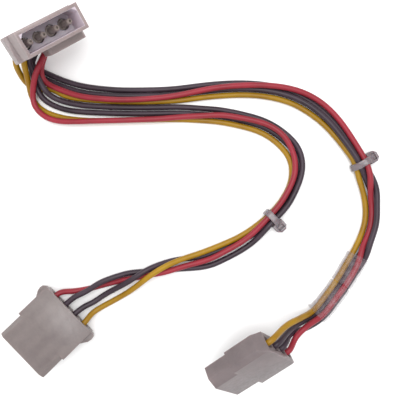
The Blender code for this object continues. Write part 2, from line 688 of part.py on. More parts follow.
def lowest_height(route, branches):
    """How low each point of a wire can lie: on the surface, or on the tie or tape that passes under it."""
    lift = np.zeros(len(route))
    for branch in branches:
        tie = branch.spine.at(branch.tie_station, 0, 2)
        off_tie = np.maximum(np.linalg.norm(route[:, :2] - tie[:2], axis=1) - TIE_WIDTH, 0)
        lift = np.maximum(lift, (TIE_THICKNESS + TIE_CLEARANCE) * np.exp(-((off_tie / 6) ** 2)))
        for first, last in branch.tape_spans:
            places = np.array([branch.spine.at(s, 0, 2) for s in np.linspace(first, last, 9)])
            near = np.linalg.norm(route[:, None, :2] - places[None, :, :2], axis=2).min(axis=1)
            off_tape = np.maximum(near - 3.5, 0)
            lift = np.maximum(lift, (TAPE_THICKNESS + TAPE_CLEARANCE) * np.exp(-((off_tape / 5) ** 2)))
    return WIRE_DIAMETER / 2 + SURFACE_GAP + lift


def spread(wanted, branches):
    """Moves the wires off one another until they only touch, with none below the surface.

    They give way mostly up and down, so that each keeps its place in plan."""
    floors = [lowest_height(route, branches) - route[:, 2] for route in wanted]
    moved = [np.zeros_like(route) for route in wanted]
    for _ in range(SPREAD_TURNS):
        routes = [route + move for route, move in zip(wanted, moved)]
        shift = [np.zeros_like(route) for route in routes]
        for i, first in enumerate(routes):
            for j in range(i + 1, len(routes)):
                delta = routes[j][None, :, :] - first[:, None, :]
                gap = np.linalg.norm(delta, axis=2)
                a, b = np.nonzero(gap < WIRES_APART)
                size = np.maximum(gap[a, b], 1e-6)[:, None]
                push = delta[a, b] / size * (WIRES_APART - size) * 0.22
                push[:, :2] *= SIDEWAYS_SHARE
                np.add.at(shift[i], a, -push)
                np.add.at(shift[j], b, push)
        for i, move in enumerate(shift):
            for _ in range(2):
                move[1:-1] = 0.25 * move[:-2] + 0.5 * move[1:-1] + 0.25 * move[2:]
            length = np.linalg.norm(move, axis=1)[:, None]
            move *= np.minimum(1.0, 0.3 / np.maximum(length, 1e-9))
            total = moved[i] + move
            total *= (0.985, 0.985, 0.998)
            total[:, 2] = np.maximum(total[:, 2], floors[i])
            calm = total.copy()
            calm[1:-1] += 0.15 * (total[:-2] + total[2:] - 2 * total[1:-1])
            calm[:HELD_POINTS] = 0
            calm[-HELD_POINTS:] = 0
            moved[i] = calm
    return [route + move for route, move in zip(wanted, moved)]


def build_wire(shop, wire, route):
    """A round tube with closed ends along the wire's centre."""
    curve = bpy.data.curves.new(wire.name, "CURVE")
    curve.dimensions = "3D"
    curve.bevel_depth = WIRE_DIAMETER / 2 * MM
    curve.bevel_resolution = 2
    curve.use_fill_caps = True
    path = smooth_curve(route, WIRE_POINT_SPACING)
    spline = curve.splines.new("POLY")
    spline.points.add(len(path) - 1)
    for point, place in zip(spline.points, path):
        point.co = (*(place * MM), 1)
    shop.add(wire.name, curve, shop.wires[wire.colour()])


def crossing(route, centre, along):
    """Where a wire meets the upright plane across the bundle at the centre, as (sideways, up)."""
    sideways = np.cross([0.0, 0.0, 1.0], along)
    depth = (route - centre) @ along
    near = np.linalg.norm(route[:, :2] - centre[:2], axis=1) < 12
    for i in range(len(route) - 1):
        if near[i] and depth[i] <= 0 < depth[i + 1]:
            share = depth[i] / (depth[i] - depth[i + 1])
            place = route[i] + share * (route[i + 1] - route[i])
            return (place - centre) @ sideways, place[2]
    raise ValueError("a wire doesn't cross this plane")


def taut_ring(circles, gap):
    """The outline of a band pulled tight round circles of (x, z, radius) and held this far off them.

    It has a corner in each of an even set of directions from the circles' middle."""
    middle = np.mean([[x, z] for x, z, _ in circles], axis=0)
    turns = np.linspace(-math.pi, math.pi, SLEEVE_CORNERS, endpoint=False)
    facing = np.linspace(-math.pi, math.pi, 180, endpoint=False)
    normals = np.stack([np.cos(facing), np.sin(facing)], axis=1)
    support = np.max(
        [normals @ (np.array([x, z]) - middle) + radius + gap for x, z, radius in circles], axis=0
    )
    ring = []
    for turn in turns:
        toward = normals @ np.array([math.cos(turn), math.sin(turn)])
        reach = np.min(support[toward > 0.01] / toward[toward > 0.01])
        ring.append(middle + reach * np.array([math.cos(turn), math.sin(turn)]))
    return ring


def sleeve_mesh(name, sections, gap):
    """An open sleeve through sections of (centre, along, circles). It is a loft, so its faces are listed."""
    points = []
    for centre, along, circles in sections:
        sideways = np.cross([0.0, 0.0, 1.0], along)
        for x, z in taut_ring(circles, gap):
            points.append((np.array([centre[0], centre[1], z]) + sideways * x) * MM)
    faces = []
    for row in range(len(sections) - 1):
        for k in range(SLEEVE_CORNERS):
            n = (k + 1) % SLEEVE_CORNERS
            a, b = row * SLEEVE_CORNERS, (row + 1) * SLEEVE_CORNERS
            faces.append((a + k, a + n, b + n, b + k))
    mesh = bpy.data.meshes.new(name)
    mesh.from_pydata([tuple(point) for point in points], [], faces)
    work = bmesh.new()
    work.from_mesh(mesh)
    bmesh.ops.recalc_face_normals(work, faces=work.faces)
    work.to_mesh(mesh)
    work.free()
    return mesh


def thicken(obj, thickness):
    solidify = obj.modifiers.new("wall", "SOLIDIFY")
    solidify.thickness = thickness * MM
    solidify.offset = 1.0
    solidify.use_even_offset = True


def section(branch, routes, station, ahead=0.0):
    """The wires where they cross the bundle's plane at a station, or so many millimetres ahead of it."""
    along = branch.spine.direction(station)
    centre = branch.spine.at(station, 0.0, 0.0) + along * ahead
    circles = [(*crossing(route, centre, along), WIRE_DIAMETER / 2) for route in routes]
    return centre, along, circles


def build_tie(shop, branch, routes):
    """A tie pulled tight round the bundle, with its locking head at the outer side of the bend."""
    centre, along, circles = section(branch, routes, branch.tie_station)
    ends = [section(branch, routes, branch.tie_station, side * TIE_WIDTH / 2) for side in (-1, 0, 1)]
    name = f"cable_tie_{branch.label}"
    tie = shop.add(name, sleeve_mesh(name, ends, TIE_CLEARANCE), shop.tie)
    thicken(tie, TIE_THICKNESS)
    edge = max(x + radius for x, _, radius in circles) + TIE_CLEARANCE
    near, far = edge + 0.4, edge + TIE_HEAD_LENGTH
    half = TIE_HEAD_WIDTH / 2
    outline = [
        (near, -half), (far - TIE_HEAD_CUT, -half), (far, TIE_HEAD_CUT - half), (far, half - TIE_HEAD_CUT),
        (far - TIE_HEAD_CUT, half), (near, half),
    ]
    head = plate_mesh(f"{name}_head", outline, SURFACE_GAP, SURFACE_GAP + TIE_HEAD_HEIGHT, "Z")
    sideways = np.cross([0.0, 0.0, 1.0], along)
    turn = math.atan2(sideways[1], sideways[0])
    plan = Vector((centre[0], centre[1], 0)) * MM
    head.transform(Matrix.Translation(plan) @ Matrix.Rotation(turn, 4, "Z"))
    shop.combine(tie, head, "UNION")


def build_tape(shop, branch, routes):
    """Turns of tape round the bundle, each with a fold of its edge that stands off at one side."""
    for number, (first, last) in enumerate(branch.tape_spans, 1):
        sections = []
        for station in np.linspace(first, last, TAPE_SECTIONS):
            centre, along, circles = section(branch, routes, station)
            lowest = min(x for x, _, _ in circles)
            fold = (lowest - TAPE_FOLD, WIRE_DIAMETER / 2, 0.3)
            sections.append((centre, along, circles + [fold]))
        name = f"tape_wrap_{number}"
        tape = shop.add(name, sleeve_mesh(name, sections, TAPE_CLEARANCE), shop.tape)
        thicken(tape, TAPE_THICKNESS)


def main():
    clear_scene()
    shop = Workshop()
    branches = [
        Branch("eared", Spine(INNER_SPINE), INNER_WIRES, EARED_POSE, EARED_SHAPE, INNER_TIE),
        Branch("plain", Spine(OUTER_SPINE), OUTER_WIRES, PLAIN_POSE, PLAIN_SHAPE, OUTER_TIE, TAPE_SPANS),
    ]
    build_input(shop)
    wanted = [wire_route(wire, branch) for branch in branches for wire in branch.wires]
    routes = spread(wanted, branches)
    for branch in branches:
        build_socket_connector(shop, branch.label, branch.end_pose, branch.end_shape)
        own, routes = routes[: len(branch.wires)], routes[len(branch.wires) :]
        for wire, route in zip(branch.wires, own):
            build_wire(shop, wire, route)
        build_tie(shop, branch, own)
        build_tape(shop, branch, own)


main()
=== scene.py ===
"""The looks of a drive power splitter cable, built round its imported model.

One four-way pin connector, eight PVC wires in two branches, a socket connector on each branch, a cable
tie on each branch and clear tape round one of them. Sizes are in millimetres and become metres where a
mesh or a curve is made. The surface that the cable lies on is at height 0.
"""

import logging
import math
from dataclasses import dataclass, field
from enum import Enum

import bmesh
import bpy
import numpy as np
from mathutils import Euler, Matrix, Vector


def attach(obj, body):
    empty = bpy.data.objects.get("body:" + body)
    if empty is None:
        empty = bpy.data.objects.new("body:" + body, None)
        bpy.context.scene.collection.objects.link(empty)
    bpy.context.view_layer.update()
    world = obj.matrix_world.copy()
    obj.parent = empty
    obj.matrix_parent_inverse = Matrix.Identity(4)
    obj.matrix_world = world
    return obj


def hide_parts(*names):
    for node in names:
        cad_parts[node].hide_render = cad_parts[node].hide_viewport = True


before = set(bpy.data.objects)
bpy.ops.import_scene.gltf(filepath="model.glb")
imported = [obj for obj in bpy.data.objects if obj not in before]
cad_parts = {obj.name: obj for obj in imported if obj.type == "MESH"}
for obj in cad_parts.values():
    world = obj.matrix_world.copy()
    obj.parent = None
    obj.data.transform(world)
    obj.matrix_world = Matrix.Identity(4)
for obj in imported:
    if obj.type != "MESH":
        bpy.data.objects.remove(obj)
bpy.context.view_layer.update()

log = logging.getLogger("splitter_cable")

MM = 0.001
WAY_PITCH = 5.08
WAYS = [(i - 1.5) * WAY_PITCH for i in range(4)]
WIRE_DIAMETER = 2.2
SEATED_GAP = 0.3
UP = np.array([0.0, 0.0, 1.0])

# Three numbers: one along each axis, or a colour's red, green and blue.
Triple = tuple[float, float, float]
Colour = tuple[float, float, float]

# Plan positions are a column and a row, in steps of about 0.4 mm on the surface, as they are seen from
# this height above the middle of a square 400 steps wide. PLAN_SHIFT is the middle's place.
VIEW_HEIGHT = 170.0
VIEW_STEPS = 426.8
VIEW_MIDDLE = 200.0
PLAN_SHIFT = Vector((19.832, 1.705, 0.0))


class Joining(Enum):
    """How a helper shape is put together with a body."""

    ADD = "UNION"
    CUT = "DIFFERENCE"


class Axis(Enum):
    """The axis that an outline is carried along."""

    Y = "Y"
    Z = "Z"


@dataclass(frozen=True)
class Pose:
    """A connector's place: x across its four ways, y out of its mating end, z through its thickness."""

    origin: Triple
    turn: float
    pitch: float = 0.0
    roll: float = 0.0

    def matrix(self) -> Matrix:
        """Gives the matrix from the connector's millimetres to the frame's."""
        angles = Euler((math.radians(self.pitch), math.radians(self.roll), math.radians(self.turn)), "YXZ")
        return Matrix.LocRotScale(Vector(self.origin) + PLAN_SHIFT, angles, None)

    def point(self, x: float, y: float, z: float) -> np.ndarray:
        """Gives a point of the connector in the frame, in millimetres."""
        return np.array(self.matrix() @ Vector((x, y, z)))

    def in_metres(self) -> Matrix:
        """Gives the matrix that places a mesh that is already in metres.

        Returns:
            The matrix.
        """
        matrix = self.matrix()
        matrix.translation *= MM
        return matrix


INPUT_POSE = Pose((-48.2, 55.7, 30.1), 68.5, 125.0, -35.7)
EARED_POSE = Pose((-66.08, -57.95, 10.08), 134.73, 14.0, 3.0)
PLAIN_POSE = Pose((8.82, -68.42, 9.92), 128.2, -13.5, -45.0)
EARED_LENGTH = 22.9
PLAIN_LENGTH = 25.3

# How a wire's route is worked out: its spacing before the wires are spread, how far apart their centres
# end, how many points at each end stay where the connectors hold them, and how high the centre of a wire
# is that lies on the surface.
ROUTE_SPACING = 1.5
WIRES_APART = WIRE_DIAMETER + 0.28
SIDEWAYS_SHARE = 0.3
SPREAD_TURNS = 400
HELD_POINTS = 3
SURFACE_GAP = 0.05
LYING_HEIGHT = 1.15

# The middle line of each branch in plan, from the pin connector on, as (column, row).
OUTER_SPINE = [
    (44, 72), (60, 82), (80, 90), (100, 94), (120, 96), (140, 96.5), (160, 96), (180, 94.5), (200, 92),
    (220, 90), (240, 89.5), (260, 90.5), (280, 94.5), (300, 103), (315, 113), (328, 125), (340, 139),
    (350, 152), (357, 161), (363, 172), (368, 185), (371.5, 200), (372.5, 215), (370, 230), (365, 243),
    (359, 254), (350, 270), (340, 286), (330, 300), (318, 315.5), (305, 324), (292, 332), (281, 341),
]
INNER_SPINE = [
    (33, 85), (40, 95), (50, 103), (62, 109), (76.5, 113), (95, 114.5), (115, 114.5), (135, 114),
    (153, 113.5), (175, 112.5), (200, 112.5), (222, 114), (240, 118), (262, 124), (280, 135), (293, 150),
    (298, 165), (296, 180), (288, 197), (275, 213), (262, 225), (245, 238), (225, 248), (205, 257),
    (185, 264), (165, 271), (145, 278), (125, 285), (105, 292), (88, 300),
]

# Lengths along a branch's middle line, in the same steps: each tie, and where each turn of tape starts
# and ends.
INNER_TIE = 358.5
OUTER_TIE = 349.0
TAPE_SPANS = ((447.0, 479.0), (480.2, 519.0))


class WireColour(Enum):
    """The colours of the wires' insulation."""

    YELLOW = "yellow"
    BLACK = "black"
    RED = "red"


@dataclass(frozen=True)
class Wire:
    """A wire's route: the way of the pin connector that it leaves and on which side of it, the points by
    which it comes round from there as (column, row, height), its stations along the branch as (length
    along, offset, height), more such points, and the way of the socket connector that it enters. A
    station without a height is on the surface."""

    name: str
    way: int
    side: int
    end_way: int
    lead: list[Triple]
    stations: list[tuple[float, ...]]
    tail: list[Triple]

    def colour(self) -> "WireColour":
        """Gives the colour that the wire's name holds."""
        return WireColour(self.name.split("_")[1])


# The eared connector's four wires, which follow the inner branch.
INNER_WIRES = [
    Wire(
        "wire_yellow_eared",
        way=0,
        side=1,
        end_way=0,
        lead=[(24.4, 62, 11.5), (26, 70, 8.8), (28, 79, 6.0), (30, 88, 3.7), (32.2, 97, 1.5)],
        stations=[
            (20, 9.8), (30, 9.3), (40, 8.2), (60, 6.4), (80, 6.0), (100, 5.8), (120, 5.9), (140, 6.3),
            (160, 6.9), (180, 7.4), (200, 7.7), (240, 7.7), (270, 7.8), (290, 7.1), (310, 5.4),
            (330, 3.8), (357, 2.8), (380, 3.2), (400, 4.0, 1.3), (420, 4.6, 1.8), (440, 5.5, 2.6),
            (460, 5.6, 3.5), (480, 3.7, 5.2), (500, -1.5, 5.0), (515, -6.4, 3.0), (530, -9.9, 1.3),
            (550, -12.3, 1.3), (560, -13.2, 2.0),
        ],
        tail=[(88.6, 317, 3.4)],
    ),
    Wire(
        "wire_black_eared_1",
        way=1,
        side=1,
        end_way=2,
        lead=[(29.5, 60, 10.0), (33.4, 68, 6.6), (37.6, 75, 4.9), (41, 82, 4.2), (45.3, 89.5, 3.7)],
        stations=[
            (20, -6.8, 2.6), (30, -7.2, 1.4), (40, -8.0), (60, -8.5), (80, -8.0), (100, -7.5),
            (120, -6.9), (140, -6.0), (160, -5.0), (180, -3.6), (200, -3.0), (240, -3.0), (260, -3.6),
            (280, -4.4, 1.5), (300, -3.7, 2.6), (320, -3.2, 3.2), (340, -4.0, 3.2), (357, -3.7, 3.0),
            (370, -4.6, 2.2), (385, -6.8, 1.2), (400, -8.6), (420, -9.9), (435, -9.5), (450, -6.6),
            (462, -3.4), (475, -0.4), (490, 3.2), (502, 6.4), (515, 9.4, 2.2), (530, 10.6, 3.4),
            (545, 10.2, 3.6), (560, 8.4, 3.6),
        ],
        tail=[(72.5, 298, 3.9)],
    ),
    Wire(
        "wire_black_eared_2",
        way=2,
        side=1,
        end_way=1,
        lead=[
            (38.5, 48, 8.2), (32.8, 60, 7.2), (31.6, 70, 5.0),
            (33.8, 78, 3.9), (35.8, 85, 3.5), (39, 92.5, 3.2),
        ],
        stations=[
            (20, 0.4, 1.5), (40, -0.6), (60, -2.0), (80, -2.0), (100, -1.3), (120, -0.5), (140, 0.3),
            (160, 1.1), (180, 2.2), (200, 2.3), (220, 2.2), (240, 2.2), (260, 1.9), (275, 0.8),
            (290, -1.0), (310, -2.0), (340, -2.6), (357, -2.6), (380, -1.6), (400, -0.6), (420, 0.6),
            (440, 2.0), (452, 4.4), (465, 7.0, 1.3), (480, 8.0, 2.4), (492, 7.4, 3.4), (502, 5.6, 3.6),
            (515, 2.6, 3.2), (530, -0.2, 2.0), (545, -2.6, 1.5), (560, -4.3, 2.6),
        ],
        tail=[(80.3, 308, 3.7)],
    ),
    Wire(
        "wire_red_eared",
        way=3,
        side=1,
        end_way=3,
        lead=[
            (50.5, 42, 9.2), (44.3, 55, 8.4), (39.8, 66, 8.2),
            (36, 77, 7.0), (34, 88, 5.4), (33.6, 98, 4.0),
        ],
        stations=[
            (18, 12.2, 3.5), (30, 14.0, 3.0), (40, 12.3, 3.2), (50, 9.6, 3.4), (60, 7.6, 3.4),
            (80, 6.2, 3.4), (100, 6.0, 3.4), (120, 5.8, 3.4), (140, 5.6, 3.4), (160, 4.6, 3.3),
            (180, 3.2, 3.3), (200, 1.2, 3.4), (220, -0.3, 3.3), (240, -1.1, 3.3), (255, -1.8, 3.3),
            (268, -1.0, 3.2), (280, 1.2, 2.6), (290, 2.5, 2.8), (305, 3.2, 3.2), (320, 3.3, 3.3),
            (340, 2.8, 3.3), (357, 2.0, 3.3), (370, 0.9, 3.3), (385, -0.5, 3.3), (400, -1.8, 3.3),
            (415, -3.0, 3.3), (430, -3.6, 3.2), (445, -2.7, 3.1), (460, -1.6, 3.1), (475, -1.0, 3.0),
            (487, 1.0, 2.8), (500, 3.9, 1.3), (512, 5.4, 1.2), (525, 6.2), (540, 7.4), (552, 9.2),
        ],
        tail=[(81.5, 289.8, 1.15), (72.5, 291.2, 1.8)],
    ),
]

# The plain connector's four wires, which follow the outer branch.
OUTER_WIRES = [
    Wire(
        "wire_yellow_plain",
        way=0,
        side=-1,
        end_way=3,
        lead=[
            (15.6, 62, 10.2), (18, 70, 6.9), (22.5, 78, 3.4),
            (27.5, 84, 1.5), (35, 88, 1.15), (43, 90, 1.15),
        ],
        stations=[
            (14, 11.0), (25, 10.4), (40, 9.1), (60, 6.3), (80, 5.2), (100, 4.9), (120, 4.9), (140, 5.0),
            (160, 5.1), (190, 5.1), (220, 4.9), (250, 4.4), (270, 3.8), (290, 3.0), (310, 2.4),
            (330, 2.4), (348, 3.8), (360, 6.0), (375, 6.8), (390, 6.8), (410, 6.7), (430, 6.7),
            (450, 6.4), (480, 5.9), (500, 6.0, 1.3), (515, 6.6, 2.4), (530, 7.4, 7.2), (542, 7.9, 12.2),
            (552, 8.3, 15.4),
        ],
        tail=[],
    ),
    Wire(
        "wire_black_plain_1",
        way=1,
        side=-1,
        end_way=1,
        lead=[(25.8, 54, 8.4), (29.5, 62, 5.4), (34.2, 67.2, 3.2), (39.2, 70, 1.9)],
        stations=[
            (2, 0.2, 1.3), (20, -2.3), (40, -4.0), (60, -4.7), (80, -5.0), (100, -5.4), (120, -5.4),
            (140, -5.4), (160, -5.5), (190, -5.6), (220, -5.7), (240, -5.9), (260, -6.3), (280, -6.4),
            (300, -6.2), (320, -5.4), (340, -4.0), (350, -4.0), (360, -4.3), (370, -5.2, 1.9),
            (380, -4.6, 3.0), (390, -3.2, 3.3), (410, -2.8, 3.3), (430, -2.6, 3.3), (440, -4.4, 2.9),
            (450, -5.6, 1.9), (460, -5.2), (480, -4.8), (500, -4.6), (515, -4.4, 1.8), (530, -4.3, 3.3),
            (542, -3.2, 5.2), (552, -1.4, 8.2),
        ],
        tail=[],
    ),
    Wire(
        "wire_black_plain_2",
        way=2,
        side=-1,
        end_way=2,
        lead=[(33, 48, 6.0), (27.4, 60, 4.0), (29.6, 67, 2.4), (35.2, 72.6, 1.3)],
        stations=[
            (0, 5.6), (20, 2.8), (40, 1.6), (60, 0.9), (80, 0.7), (100, 0.4), (120, 0.0), (140, -0.2),
            (160, -0.3), (190, -0.4), (220, -0.6, 1.2), (240, -1.2, 1.8), (260, -2.2, 2.6),
            (280, -2.7, 2.8), (300, -2.7, 2.9), (320, -2.0, 3.1), (340, -0.9, 3.1), (350, 0.4, 2.9),
            (360, 1.4, 1.9), (375, 0.2, 1.2), (390, -1.8), (410, -2.6), (430, -2.2), (440, -0.6),
            (450, 0.8), (480, 1.2), (500, 1.4), (515, 2.2, 2.0), (530, 3.0, 5.0), (542, 2.8, 8.6),
            (552, 2.4, 12.0),
        ],
        tail=[],
    ),
    Wire(
        "wire_red_plain",
        way=3,
        side=-1,
        end_way=0,
        lead=[(47.5, 46, 6.2), (44.4, 57, 5.2), (41.8, 66, 4.8), (41.6, 74, 3.9), (44.5, 81, 2.2)],
        stations=[
            (12, 8.2, 1.3), (20, 7.5, 1.8), (40, 6.3, 2.6), (60, 5.0, 3.2), (80, 4.0, 3.3),
            (100, 3.0, 3.3), (120, 2.0, 3.3), (140, 0.6, 3.3), (160, -1.0, 3.3), (180, -2.4, 3.3),
            (200, -3.6, 3.3), (220, -4.8, 3.2), (240, -7.0, 3.0), (260, -9.6, 2.4), (280, -11.0, 1.9),
            (300, -10.7, 2.0), (320, -9.1, 2.6), (340, -6.4, 3.1), (350, -4.8, 3.2), (360, -3.9, 3.3),
            (370, -2.0, 3.2), (380, 0.2, 2.2), (390, 1.6, 1.2), (410, 1.9), (430, 1.8, 1.2),
            (440, 0.0, 2.7), (448, -2.2, 3.3), (460, -3.4, 3.3), (480, -3.2, 3.3), (500, -2.8, 3.3),
            (515, -2.0, 4.1), (530, -1.2, 5.7), (542, -3.4, 7.4), (552, -6.6, 7.4),
        ],
        tail=[],
    ),
]


def surface_point(column: float, row: float, height: float) -> np.ndarray:
    """Gives the point in millimetres that is seen at a plan position.

    Args:
        column: Steps to the right of the square's left edge.
        row: Steps below its upper edge.
        height: Height above the surface.

    Returns:
        The point in the frame.
    """
    step = (VIEW_HEIGHT - height) / VIEW_STEPS
    x, y = (column - VIEW_MIDDLE) * step, (VIEW_MIDDLE - row) * step
    return np.array([x, y, height]) + np.array(PLAN_SHIFT)


# A curve is worked out in this many steps for each of its points.
FINE_STEPS = 40


def smooth_curve(points: list | np.ndarray, spacing: float) -> np.ndarray:
    """Runs a curve with no corner in it through every point.

    Args:
        points: The points, in any number of dimensions.
        spacing: The spacing of the points that are given back.

    Returns:
        Points along the curve at an even spacing.
    """
    points = np.asarray(points, float)
    chord = np.sqrt(np.linalg.norm(np.diff(points, axis=0), axis=1))
    knots = np.concatenate([[0.0], np.cumsum(chord)])
    count = len(points)
    system = np.zeros((count, count))
    right = np.zeros((count, points.shape[1]))
    system[0, 0] = system[-1, -1] = 1.0
    for i in range(1, count - 1):
        before, after = knots[i] - knots[i - 1], knots[i + 1] - knots[i]
        system[i, i - 1 : i + 2] = before, 2 * (before + after), after
        right[i] = 6 * ((points[i + 1] - points[i]) / after - (points[i] - points[i - 1]) / before)
    bend = np.linalg.solve(system, right)
    fine = np.linspace(0, knots[-1], FINE_STEPS * count)
    index = np.clip(np.searchsorted(knots, fine, side="right") - 1, 0, count - 2)
    width = (knots[index + 1] - knots[index])[:, None]
    left = (fine - knots[index])[:, None]
    rest = width - left
    path = (
        bend[index] * rest**3 / (6 * width)
        + bend[index + 1] * left**3 / (6 * width)
        + (points[index] / width - bend[index] * width / 6) * rest
        + (points[index + 1] / width - bend[index + 1] * width / 6) * left
    )
    length = np.concatenate([[0.0], np.cumsum(np.linalg.norm(np.diff(path, axis=0), axis=1))])
    even = np.linspace(0, length[-1], max(2, round(length[-1] / spacing) + 1))
    return np.stack([np.interp(even, length, path[:, k]) for k in range(path.shape[1])], axis=1)


def length_of(path: np.ndarray) -> float:
    """Gives the length of a line of points."""
    return float(np.linalg.norm(np.diff(path, axis=0), axis=1).sum())


class Spine:
    """A branch's middle line, by its length along it."""

    def __init__(self, points: list[tuple[float, float]]) -> None:
        """Works out the line and its directions.

        Args:
            points: The line's points as (column, row).
        """
        self.path = smooth_curve(points, 1.0)
        steps = np.linalg.norm(np.diff(self.path, axis=0), axis=1)
        self.length = np.concatenate([[0.0], np.cumsum(steps)])
        self.along = np.gradient(self.path, axis=0)
        self.along /= np.linalg.norm(self.along, axis=1)[:, None]

    def at(self, station: float, offset: float, height: float = LYING_HEIGHT) -> np.ndarray:
        """Gives a point by its place along the line.

        Args:
            station: Length along the line.
            offset: How far to its side.
            height: Height above the surface.

        Returns:
            The point in the frame, in millimetres.
        """
        column = np.interp(station, self.length, self.path[:, 0])
        row = np.interp(station, self.length, self.path[:, 1])
        across = np.interp(station, self.length, -self.along[:, 1])
        down = np.interp(station, self.length, self.along[:, 0])
        return surface_point(column + across * offset, row + down * offset, height)

    def direction(self, station: float) -> np.ndarray:
        """Gives the line's direction on the surface at a station.

        Args:
            station: Length along the line.

        Returns:
            The direction, 1 long.
        """
        x = np.interp(station, self.length, self.along[:, 0])
        y = np.interp(station, self.length, -self.along[:, 1])
        return np.array([x, y, 0.0]) / math.hypot(x, y)


@dataclass
class Branch:
    """Four wires that run together to one socket connector.

    A cut across it finds a wire only within CUT_REACH of the spine, in case the wire comes by twice.
    """

    CUT_REACH = 12

    label: str
    spine: Spine
    wires: list[Wire]
    end_pose: Pose
    end_length: float
    tie_station: float
    tape_spans: tuple[tuple[float, float], ...] = ()
    routes: list[np.ndarray] = field(default_factory=list)

    def section(self, station: float, ahead: float = 0.0) -> "Section":
        """Cuts across the bundle.

        Args:
            station: Length along the spine.
            ahead: How many millimetres further on the cut is.

        Returns:
            The wires where they cross the cut.
        """
        along = self.spine.direction(station)
        centre = self.spine.at(station, 0.0, 0.0) + along * ahead
        sideways = np.cross(UP, along)
        radius = WIRE_DIAMETER / 2
        circles = []
        for route in self.routes:
            depth = (route - centre) @ along
            near = np.linalg.norm(route[:, :2] - centre[:2], axis=1) < self.CUT_REACH
            for i in range(len(route) - 1):
                if near[i] and depth[i] <= 0 < depth[i + 1]:
                    share = depth[i] / (depth[i] - depth[i + 1])
                    place = route[i] + share * (route[i + 1] - route[i])
                    circles.append((float((place - centre) @ sideways), float(place[2]), radius))
                    break
        return Section(centre, along, circles)


@dataclass
class Section:
    """A cut across a bundle: its middle, its direction, and circles as (sideways, up, radius)."""

    FACINGS = 240
    LEAST_FACING = 0.01

    centre: np.ndarray
    along: np.ndarray
    circles: list[tuple[float, float, float]]

    def sideways(self) -> np.ndarray:
        """Gives the direction across the bundle, on the surface."""
        return np.cross(UP, self.along)

    def band(self, gap: float, corners: int) -> list[np.ndarray]:
        """Pulls a band tight round the wires.

        Args:
            gap: How far the band stands off them.
            corners: How many points the band has.

        Returns:
            The band's points in the frame, in millimetres.
        """
        middle = np.mean([[x, z] for x, z, _ in self.circles], axis=0)
        facing = np.linspace(-math.pi, math.pi, self.FACINGS, endpoint=False)
        normals = np.stack([np.cos(facing), np.sin(facing)], axis=1)
        reaches = [normals @ (np.array([x, z]) - middle) + radius + gap for x, z, radius in self.circles]
        support = np.max(reaches, axis=0)
        ring = []
        for turn in np.linspace(-math.pi, math.pi, corners, endpoint=False):
            ray = np.array([math.cos(turn), math.sin(turn)])
            toward = normals @ ray
            facing_ray = toward > self.LEAST_FACING
            x, z = middle + np.min(support[facing_ray] / toward[facing_ray]) * ray
            ring.append(np.array([self.centre[0], self.centre[1], z]) + self.sideways() * x)
        return ring


